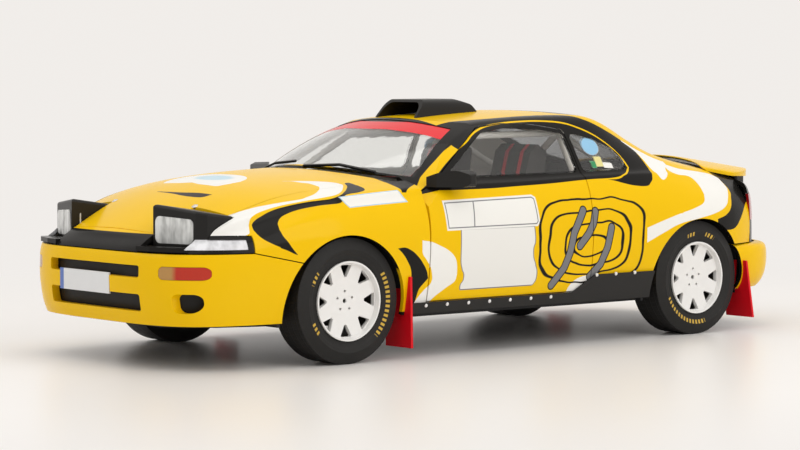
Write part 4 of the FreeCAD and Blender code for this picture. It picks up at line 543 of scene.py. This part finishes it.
def drawing_layers(tree, y, z, side):
    """A made-up drawing behind the door sheet: wobbly rings and three brush strokes."""
    wobble = (noise(tree, 9.0, 1.0) - 0.5) * 4.0
    rings = any_of(*[contour(y + wobble, z + wobble * 0.6, *ring) for ring in CONTOURS])
    layers = [(rings * side, BLACK)]
    for line in SWIPES:
        layers.append((stroke(y, z, line, SWIPE_OUTER_WIDTH) * side, BLACK))
        layers.append((stroke(y, z, line, SWIPE_WIDTH) * side, GREY))
    return layers


def stripes_group():
    """The body's stripes as a node group, the same on both sides: it gives the colour."""
    group = bpy.data.node_groups.new("stripes", "ShaderNodeTree")
    group.interface.new_socket("Color", in_out="OUTPUT", socket_type="NodeSocketColor")
    output = group.nodes.new("NodeGroupOutput")
    x, y, z = place(group)
    out = x.size()
    v = z - out * SLOPE
    side = (out - SIDE_OUT).step()
    sill = (SILL_TOP - z).step() * (SILL_REACH - y.size()).step()
    colour = tinted(group, YELLOW, 0.05, 18)
    layers = [
        *bonnet_layers(x, y, v, colour), *side_layers(y, v), *door_layers(y, z, side),
        *roof_layers(y, z, v, out), *tail_layers(y, v), *name_layers(y, v),
        *drawing_layers(group, y, z, side), (sill, BLACK),
    ]
    for area, above in layers:
        colour = paint(colour, area, above)
    group.links.new(colour, output.inputs[0])
    return group


STRIPES = stripes_group()


def add_stripes(tree):
    """The stripes' colour for a panel's material."""
    node = tree.nodes.new("ShaderNodeGroup")
    node.node_tree = STRIPES
    return node.outputs[0]


# A line along the cabin's middle, and where the lining is, in millimetres

CABIN_REACH = 55.0
CABIN_LEVEL = 18.0
LINING_LOW = 46
LINING_REACH = 75


def inner_side(tree):
    """1 on faces that turn towards a line through the cabin, and 0 on the outer skin."""
    x, y, z = place(tree)
    coordinates = tree.nodes.new("ShaderNodeTexCoord")
    split = tree.nodes.new("ShaderNodeSeparateXYZ")
    tree.links.new(coordinates.outputs["Normal"], split.inputs[0])
    across, along, up = [Num(tree, split.outputs[i]) for i in range(3)]
    outward = (across * x + along * (y - y.limited(-CABIN_REACH, CABIN_REACH))
               + up * (z - CABIN_LEVEL))
    return (outward * -1 - 4.0).step(1.0)


def lined_with_arch_shade(tree, colour):
    """The colour outside, a pale lining in the cabin, and black on other inner faces as painted
    shade in the wheel arches and behind the rear bumper.
    """
    _, y, z = place(tree)
    inner = inner_side(tree)
    # Inner faces painted black: painted shade in the wheel arches and behind the rear bumper
    colour = paint(colour, inner, BLACK)
    cabin = (z - LINING_LOW).step() * (LINING_REACH - y.size()).step()
    return paint(colour, inner * cabin, LINING)


def paint_material(name, extra=None, base=None):
    """Glossy car paint, with the stripes where no base colour is given."""
    made, tree, shader = new_material(name)
    colour = tinted(tree, base, 0.05, 18) if base else add_stripes(tree)
    if extra:
        colour = extra(tree, colour)
    tree.links.new(colour, shader.inputs["Base Color"])
    gloss = noise(tree, 3.0, 3.0) * 0.06 + 0.22
    link_number(tree, gloss, shader.inputs["Roughness"])
    bump(tree, shader, noise(tree, 1.6, 1.0), 0.005)
    shader.inputs["Specular IOR Level"].default_value = 0.05
    shader.inputs["Coat Weight"].default_value = 0.12
    shader.inputs["Coat Roughness"].default_value = 0.05
    return made


def put(material_made, *names):
    """Gives CAD nodes a material."""
    for name in names:
        mesh = nodes[name].data
        mesh.materials.clear()
        mesh.materials.append(material_made)


SLIT_REAR = [(-5.6, -97.1), (3.7, -96.9), (13.3, -95.6), (18.4, -95.1)]
SLIT_FRONT = [(-5.6, -97.3), (3.7, -98.0), (9.7, -98.5), (16.1, -97.9), (18.4, -95.2)]
NOSE_LOW = 37.2
NOSE_HALF = 21.2


def bonnet_slit_shade(tree, colour):
    """Painted shade: the air slit across the bonnet's front is drawn dark on its surface."""
    x, y, _ = place(tree)
    # A dark brown area painted as the shade inside the air slit
    return paint(colour, between(x, y, SLIT_REAR, SLIT_FRONT), (0.02, 0.012, 0.01))


def nose_marks(tree, colour):
    """The middle carries the bonnet's paint down between the lamps."""
    x, _, z = place(tree)
    return paint(colour, (z - NOSE_LOW).step() * (NOSE_HALF - x.size()).step(), YELLOW)


# Materials on the CAD nodes

put(paint_material("body_paint", lined_with_arch_shade), "body_shell", "fender_left", "fender_right",
    "door_left", "door_right")
put(paint_material("bumper_paint", base=YELLOW), "front_bumper", "rear_wing")
# The rear bumper's inner faces get the black painted shade as well
put(paint_material("rear_paint", lined_with_arch_shade, YELLOW), "rear_bumper")
put(paint_material("bonnet_paint", bonnet_slit_shade), "bonnet")
put(paint_material("nose_paint", nose_marks, BLACK), "nose_panel")

put(plain("black_trim", BLACK, 0.32), "tail_panel", "cowl_panel", "wing_feet",
    "headlamp_pods", "mirrors", "wipers", "roof_scoop", "hatch")
put(plain("mesh_black", (0.010, 0.010, 0.011), 0.5), "grille_mesh")
put(plain("chassis_black", (0.020, 0.020, 0.021), 0.55, depth=0.02), "chassis")
put(plain("interior_black", (0.045, 0.041, 0.038), 0.6, depth=0.02), "dashboard",
    "steering_wheel")
put(plain("cabin_grey", (0.55, 0.52, 0.48), 0.6, depth=0.02), "cabin_tub")
put(plain("cage_grey", (0.85, 0.82, 0.77), 0.42), "roll_cage")


SEAT_X = 18.3
STRAP_X = 3.4
STRAP_HALF = 0.8
STRAP_LOW = 36


def seat_material():
    """Dark woven cloth with two red straps on each seat."""
    made, tree, shader = new_material("seat_cloth")
    x, y, z = place(tree)
    cloth = tinted(tree, (0.040, 0.037, 0.034), 0.3, 1.5)
    strap = (STRAP_HALF - ((x.size() - SEAT_X).size() - STRAP_X).size()).step()
    strap = strap * (z - STRAP_LOW).step()
    tree.links.new(paint(cloth, strap, SUN_RED), shader.inputs["Base Color"])
    weave = (x * 14).sine() * 0.25 + (y * 14).sine() * 0.25 + noise(tree, 0.6, 3.0)
    bump(tree, shader, weave, 0.03)
    link_number(tree, noise(tree, 2.0, 3.0) * 0.15 + 0.7, shader.inputs["Roughness"])
    return made


put(seat_material(), "seats")
put(plain("guard_grey", (0.020, 0.019, 0.018), 0.45, depth=0.015), "sill_guards")
put(plain("flap_red", (0.80, 0.004, 0.014), 0.42, grain=0.6, depth=0.01), "front_mudflaps",
    "rear_mudflaps")
put(plain("metal", (0.48, 0.47, 0.45), 0.35, metal=0.9), "exhaust", "tie_rod")
put(plain("cast_iron", (0.05, 0.048, 0.045), 0.5, depth=0.03), "rear_axle", "knuckle_left",
    "knuckle_right")

# Wheels: a tyre's marks are (middle, half length) as shares of a turn

FRONT_MARKS = [(0.42, 0.022), (0.583, 0.022), (0.98, 0.11)]
REAR_MARKS = [(0.287, 0.018), (0.19, 0.022), (0.677, 0.11)]
MARK_RADIUS, MARK_HALF = 13.9, 0.62
SIDE_RADIUS = 12.4
TREAD_RADIUS = 17.2


def tyre_material(name, node, places):
    """Rubber with moulded rings, fine grooves and coloured dashes on the side wall."""
    made, tree, shader = new_material(name)
    low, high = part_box(node)
    cx, cy, cz = [(a + b) / 2 / MM for a, b in zip(low, high)]
    x, y, z = place(tree)
    dy, dz = y - cy, z - cz
    radius = (dy * dy + dz * dz).root()
    turn = dz.angle(dy) / (2 * math.pi)
    outer = ((x - cx) * (1 if cx > 0 else -1) - 2.0).step()
    dash = (((turn * 64).part() - 0.5).size() * -1 + 0.27).step(0.06)
    arc = any_of(*[(reach - ((turn - middle + 0.5).part() - 0.5).size()).step(0.004)
                   for middle, reach in places])
    ring = (MARK_HALF - (radius - MARK_RADIUS).size()).step()
    marks = dash * arc * ring * outer
    rubber = tinted(tree, (0.019, 0.018, 0.017), 0.25, 5)
    tree.links.new(paint(rubber, marks, (0.62, 0.40, 0.06)), shader.inputs["Base Color"])
    rings = (radius * 5.2).sine() * (0.35 - (radius - SIDE_RADIUS).size() * 0.1).high(0.0)
    side = noise(tree, 0.5, 3.0) * 0.5 + rings
    groove = ((x * 2.6).sine() - 0.86).step(0.2) * -1.6
    tread = (radius - TREAD_RADIUS).step(0.3)
    blocks = (((turn * 72 + x * 0.12).part() - 0.5).size() - 0.44).step(0.05) * -1.0
    bump(tree, shader, side + (groove + blocks) * tread, 0.06)
    link_number(tree, noise(tree, 2.0, 3.0) * 0.16 + 0.5, shader.inputs["Roughness"])
    shader.inputs["Specular IOR Level"].default_value = 0.22
    return made


def rim_material(name, node):
    """White paint on the wheel's face and rim, and painted shade on the barrel behind the windows,
    which is drawn near-black.
    """
    made, tree, shader = new_material(name)
    low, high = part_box(node)
    middle = abs(low[0] + high[0]) / 2 / MM
    out = place(tree)[0].size()
    # Painted shade: the barrel behind the spoke windows is coloured near-black
    dark = (3.1 - (out - middle)).step(0.5)
    white = tinted(tree, RIM_WHITE, 0.05, 5)
    tree.links.new(paint(white, dark, (0.03, 0.028, 0.026)), shader.inputs["Base Color"])
    link_number(tree, noise(tree, 2.4, 4.0) * 0.12 + 0.26, shader.inputs["Roughness"])
    bump(tree, shader, noise(tree, 0.4, 3.0), 0.008)
    shader.inputs["Specular IOR Level"].default_value = 0.3
    return made


for corner in ("front_left", "front_right", "rear_left", "rear_right"):
    marks = FRONT_MARKS if corner.startswith("front") else REAR_MARKS
    put(tyre_material("tyre_" + corner + "_rubber", "tyre_" + corner, marks), "tyre_" + corner)
    put(rim_material("rim_" + corner + "_white", "rim_" + corner), "rim_" + corner)


def glass_material(name, tint=(0.93, 0.95, 0.94), marks=None):
    """Clear plastic glazing that lets light through, with painted areas on it."""
    made, tree, shader = new_material(name)
    shader.inputs["Base Color"].default_value = (*tint, 1)
    shader.inputs["Transmission Weight"].default_value = 1
    shader.inputs["IOR"].default_value = 1.42
    link_number(tree, noise(tree, 6.0, 2.0) * 0.03 + 0.01, shader.inputs["Roughness"])
    clear = tree.nodes.new("ShaderNodeBsdfTransparent")
    clear.inputs["Color"].default_value = (*tint, 1)
    light = tree.nodes.new("ShaderNodeLightPath")
    through = tree.nodes.new("ShaderNodeMixShader")
    tree.links.new(light.outputs["Is Shadow Ray"], through.inputs["Fac"])
    tree.links.new(shader.outputs[0], through.inputs[1])
    tree.links.new(clear.outputs[0], through.inputs[2])
    top = through.outputs[0]
    if marks:
        painted = tree.nodes.new("ShaderNodeBsdfPrincipled")
        painted.inputs["Coat Weight"].default_value = 0.08
        painted.inputs["Specular IOR Level"].default_value = 0.15
        link_number(tree, noise(tree, 3.0, 2.0) * 0.08 + 0.2, painted.inputs["Roughness"])
        area, colour = marks(tree)
        tree.links.new(colour, painted.inputs["Base Color"])
        join = tree.nodes.new("ShaderNodeMixShader")
        tree.links.new(area.socket, join.inputs["Fac"])
        tree.links.new(top, join.inputs[1])
        tree.links.new(painted.outputs[0], join.inputs[2])
        top = join.outputs[0]
    tree.links.new(top, tree.nodes["Material Output"].inputs["Surface"])
    return made


# Painted areas on the glass: SCREEN_SIDE is (along, out) and RED_EDGE is (out, up)

SCREEN_SIDE = [
    (-52, 37.0), (-42.5, 37.0), (-33.9, 34.6), (-27.6, 34.4), (-19.4, 33.4), (-10, 31.5),
]
RED_EDGE = [(0, 64.9), (7, 64.9), (15, 64.4), (22, 63.6), (29, 62.2), (34, 61.0)]
SCREEN_TOP, SCREEN_FOOT = 67.0, 51.6
STICKERS = (
    ((0.80, 0.72, 0.30), [(33.4, 53.3), (36.4, 53.3), (36.4, 56.2), (33.4, 56.2)]),
    (WHITE, [(36.4, 52.9), (40.2, 52.7), (40.2, 54.2), (36.4, 54.4)]),
    ((0.05, 0.30, 0.12), [(31.6, 52.9), (33.4, 52.9), (33.4, 54.9), (31.6, 54.9)]),
)


def screen_marks(tree):
    """A black border round the windscreen and a red strip along its top."""
    x, y, z = place(tree)
    out = x.size()
    red = (z - curve(out, RED_EDGE)).step()
    border = any_of((out - curve(y, SCREEN_SIDE)).step(), (z - SCREEN_TOP).step(),
                    (SCREEN_FOOT - z).step())
    colour = mix_colour(tree, border, SUN_RED, BLACK)
    return red.high(border), colour


def sticker_marks(tree):
    """Plain stickers on the quarter windows: a pale blue one over a small row."""
    _, y, z = place(tree)
    wide, tall = (y - 33.6) / 3.4, (z - 59.4) / 2.6
    blue = (1.0 - (wide * wide + tall * tall).root()).step()
    colour = mix_colour(tree, blue, WHITE, PALE_BLUE)
    areas = [blue]
    for shade, corners in STICKERS:
        areas.append(inside_of(y, z, corners).step())
        colour = paint(colour, areas[-1], shade)
    return any_of(*areas), colour


put(glass_material("windscreen_glass", marks=screen_marks), "windscreen")
put(glass_material("side_glass", (0.95, 0.95, 0.94), sticker_marks), "side_windows_left",
    "side_windows_right")
put(glass_material("rear_glass", (0.35, 0.36, 0.37)), "rear_window")


def lens_material(name, colour, ribs, deep, contrast):
    """A moulded lamp lens with ribs, and painted reflections: lighter and darker bands that stand
    in for the lamp's reflector behind it.
    """
    made, tree, shader = new_material(name)
    x = place(tree)[0]
    # Painted reflections and highlights: bands stretched up the lens, standing in for the reflector
    # behind it
    painted_reflections = noise(tree, 2.6, 2.0, (1.0, 1.0, 0.4))
    painted_reflections = ((painted_reflections - 0.5) * 3.2 + 0.6).limited(0.0, 1.0)
    shade = tuple(c * (1 - contrast) for c in colour)
    tree.links.new(mix_colour(tree, painted_reflections, shade, colour), shader.inputs["Base Color"])
    wave = (x * ribs).sine() * 0.5 + 0.5
    bump(tree, shader, wave + noise(tree, 1.2, 2.0) * 0.6, deep)
    link_number(tree, noise(tree, 1.5, 2.0) * 0.15 + 0.08, shader.inputs["Roughness"])
    shader.inputs["Specular IOR Level"].default_value = 0.35
    shader.inputs["Coat Weight"].default_value = 0.3
    shader.inputs["Transmission Weight"].default_value = 0.1
    return made


put(lens_material("clear_lens", (0.93, 0.94, 0.92), 4.0, 0.10, 0.62), "headlamp_lenses")
put(lens_material("side_lens", (0.90, 0.90, 0.93), 1.2, 0.05, 0.35), "side_lamps")
put(lens_material("red_lens", (0.50, 0.008, 0.012), 2.2, 0.08, 0.35), "tail_lamps")


MARKER_END = 33.8
PLATE_STRIP_FRONT = -14.3
PLATE_STRIP_WIDTH = 1.9


def indicator_material():
    """An orange lens whose inner third is a pale marker lamp."""
    made, tree, shader = new_material("orange_lens")
    x = place(tree)[0]
    pale = (MARKER_END - x.size()).step(1.4)
    tree.links.new(mix_colour(tree, pale, (0.50, 0.030, 0.012), (0.48, 0.26, 0.08)),
                   shader.inputs["Base Color"])
    bump(tree, shader, (x * 3.4).sine() * 0.5 + 0.5, 0.05)
    link_number(tree, noise(tree, 1.5, 2.0) * 0.12 + 0.1, shader.inputs["Roughness"])
    shader.inputs["Coat Weight"].default_value = 0.25
    shader.inputs["Specular IOR Level"].default_value = 0.2
    return made


put(indicator_material(), "indicators")


def plate_material():
    """A blank white plate with a plain blue strip at one end."""
    made, tree, shader = new_material("plate_blank")
    x, y, _ = place(tree)
    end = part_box("number_plates")[1][0] / MM
    white = tinted(tree, (0.80, 0.81, 0.82), 0.06, 4)
    front = (-1 * y).step()
    blue_front = (PLATE_STRIP_FRONT - x).step() * front
    blue = blue_front + (x - (end - PLATE_STRIP_WIDTH)).step() * (1 - front)
    tree.links.new(paint(white, blue, (0.10, 0.18, 0.50)), shader.inputs["Base Color"])
    link_number(tree, noise(tree, 2.0, 2.0) * 0.1 + 0.25, shader.inputs["Roughness"])
    bump(tree, shader, noise(tree, 0.8, 2.0), 0.01)
    return made


put(plate_material(), "number_plates")

# Small fasteners


SEGMENTS = 16


def turned(name, spots, profile, material_made):
    """One piece of equal turned shapes, each at a spot and along an outward direction."""
    shape = bmesh.new()
    for centre, outward in spots:
        axis = Vector(outward).normalized()
        side = axis.orthogonal().normalized()
        other = axis.cross(side)
        rings = []
        for radius, height in profile:
            ring = []
            for count in range(SEGMENTS):
                turn = 2 * math.pi * count / SEGMENTS
                spoke = side * math.cos(turn) + other * math.sin(turn)
                ring.append(shape.verts.new((Vector(centre) + axis * height + spoke * radius) * MM))
            rings.append(ring)
        for low, high in zip(rings, rings[1:]):
            for here, there in zip(range(SEGMENTS), (*range(1, SEGMENTS), 0)):
                shape.faces.new((low[here], low[there], high[there], high[here]))
        shape.faces.new(rings[0][::-1])
        shape.faces.new(rings[-1])
    mesh = bpy.data.meshes.new(name)
    shape.to_mesh(mesh)
    shape.free()
    for polygon in mesh.polygons:
        polygon.use_smooth = len(polygon.vertices) == 4
    mesh.materials.append(material_made)
    piece = bpy.data.objects.new(name, mesh)
    bpy.context.scene.collection.objects.link(piece)
    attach(piece, "body")
    return piece


# Places on the left side, and profiles as (radius, height)

RIVETS = (
    (45.86, -39.4, 15.0), (45.82, -31.3, 15.0), (45.85, -23.1, 15.0), (45.93, -15.0, 15.0),
    (46.02, -6.9, 15.0), (46.10, 1.3, 15.0), (46.16, 9.4, 15.0), (47.51, 27.2, 20.8),
    (47.59, 35.2, 20.8), (47.71, 43.2, 20.8),
)
RIVET_PROFILE = ((0.55, -0.35), (0.55, 0.04), (0.46, 0.15), (0.28, 0.24), (0.10, 0.27))
PIN_PROFILE = ((0.95, -0.4), (0.95, 0.06), (0.72, 0.14), (0.42, 0.15), (0.38, 0.34), (0.18, 0.40))
rivets = [((side * x, y, z), (side, 0, -0.1)) for side in (-1, 1) for x, y, z in RIVETS]
turned("guard_rivets", rivets, RIVET_PROFILE, plain("rivet_white", RIM_WHITE, 0.35))
pins = [((side * 20.0, -102.2, 44.5), (side * 0.1, -0.42, 0.9)) for side in (-1, 1)]
turned("bonnet_pins", pins, PIN_PROFILE, plain("pin_steel", (0.62, 0.61, 0.59), 0.35, metal=0.8))

# The studio

BACKGROUND = (0.880, 0.850, 0.820)
FLOOR = (0.89, 0.867, 0.845)
FLOOR_REACH = 2.4
FADE_START, FADE_LENGTH = 170, 130
LIGHT = (1.0, 0.985, 0.965)
FILL = 0.55
AIM = Vector((0, 0, 0.03))
LAMPS = (
    ("overhead", (0.10, -0.05, 0.95), (1.3, 1.3), 5.4),
    ("right", (1.10, 0.25, 0.55), (0.9, 0.7), 4.0),
    ("left", (-0.5, -0.9, 0.7), (0.8, 0.6), 1.7),
)
CAMERA_PLACE = Vector((0.61824, -0.527175, 0.08057))
CAMERA_ANGLES = (50.137, 3.227, 0.096)  # azimuth, elevation and roll in degrees
CAMERA_LENS = 118.17


def seen(tree):
    """1 for the rays that show a background: straight, mirrored or through glass."""
    light = tree.nodes.new("ShaderNodeLightPath")
    rays = [Num(tree, light.outputs[n]) for n in
            ("Is Camera Ray", "Is Glossy Ray", "Is Transmission Ray")]
    return any_of(*rays)


def make_world():
    """Even light from all round, with the pale background where it is seen."""
    world = bpy.data.worlds.new("studio")
    bpy.context.scene.world = world
    world.use_nodes = True
    tree = world.node_tree
    fill = tree.nodes["Background"]
    fill.inputs["Color"].default_value = (*LIGHT, 1)
    fill.inputs["Strength"].default_value = FILL
    shown = tree.nodes.new("ShaderNodeBackground")
    shown.inputs["Color"].default_value = (*BACKGROUND, 1)
    join = tree.nodes.new("ShaderNodeMixShader")
    tree.links.new(seen(tree).socket, join.inputs["Fac"])
    tree.links.new(fill.outputs[0], join.inputs[1])
    tree.links.new(shown.outputs[0], join.inputs[2])
    tree.links.new(join.outputs[0], tree.nodes["World Output"].inputs["Surface"])


def make_floor():
    """A pale floor that fades into the background away from the model."""
    mesh = bpy.data.meshes.new("floor")
    corners = [(x * FLOOR_REACH, y * FLOOR_REACH, 0) for x, y in
               ((-1, -1), (1, -1), (1, 1), (-1, 1))]
    mesh.from_pydata(corners, [], [(0, 1, 2, 3)])
    floor = bpy.data.objects.new("floor", mesh)
    bpy.context.scene.collection.objects.link(floor)
    made = bpy.data.materials.new("floor_paper")
    made.use_nodes = True
    tree = made.node_tree
    shader = tree.nodes["Principled BSDF"]
    tree.links.new(tinted(tree, FLOOR, 0.015, 60), shader.inputs["Base Color"])
    link_number(tree, noise(tree, 8.0, 3.0) * 0.03 + 0.32, shader.inputs["Roughness"])
    shader.inputs["Specular IOR Level"].default_value = 0.4
    x, y, _ = place(tree)
    distance = ((x * x) + (y * y * 0.6)).root()
    fade = ((distance - FADE_START) / FADE_LENGTH).clamped()
    glow = tree.nodes.new("ShaderNodeEmission")
    glow.inputs["Color"].default_value = (*BACKGROUND, 1)
    join = tree.nodes.new("ShaderNodeMixShader")
    link_number(tree, fade * seen(tree), join.inputs["Fac"])
    tree.links.new(shader.outputs[0], join.inputs[1])
    tree.links.new(glow.outputs[0], join.inputs[2])
    tree.links.new(join.outputs[0], tree.nodes["Material Output"].inputs["Surface"])
    mesh.materials.append(made)


def add_lamp(name, where, size, watts):
    """A flat lamp that faces the model."""
    data = bpy.data.lights.new(name, "AREA")
    data.shape = "RECTANGLE"
    data.size, data.size_y = size
    data.energy = watts
    data.color = LIGHT
    lamp = bpy.data.objects.new(name, data)
    bpy.context.scene.collection.objects.link(lamp)
    lamp.location = where
    lamp.rotation_euler = (AIM - Vector(where)).to_track_quat("-Z", "Y").to_euler()


def make_camera():
    """The photograph's camera, with its place and angles solved from the photograph."""
    azimuth, elevation, roll = (math.radians(angle) for angle in CAMERA_ANGLES)
    back = Vector((math.sin(azimuth) * math.cos(elevation),
                   -math.cos(azimuth) * math.cos(elevation), math.sin(elevation)))
    level = Vector((0, 0, 1)).cross(back).normalized()
    upright = back.cross(level)
    right = level * math.cos(roll) + upright * math.sin(roll)
    up = upright * math.cos(roll) - level * math.sin(roll)
    data = bpy.data.cameras.new("camera")
    data.sensor_width = 36
    data.lens = CAMERA_LENS
    data.clip_start = 0.01
    camera = bpy.data.objects.new("camera", data)
    bpy.context.scene.collection.objects.link(camera)
    matrix = Matrix((right, up, back)).transposed().to_4x4()
    matrix.translation = CAMERA_PLACE
    camera.matrix_world = matrix
    bpy.context.scene.camera = camera


make_world()
make_floor()
for lamp in LAMPS:
    add_lamp(*lamp)
make_camera()
bpy.context.scene.view_settings.view_transform = "Standard"
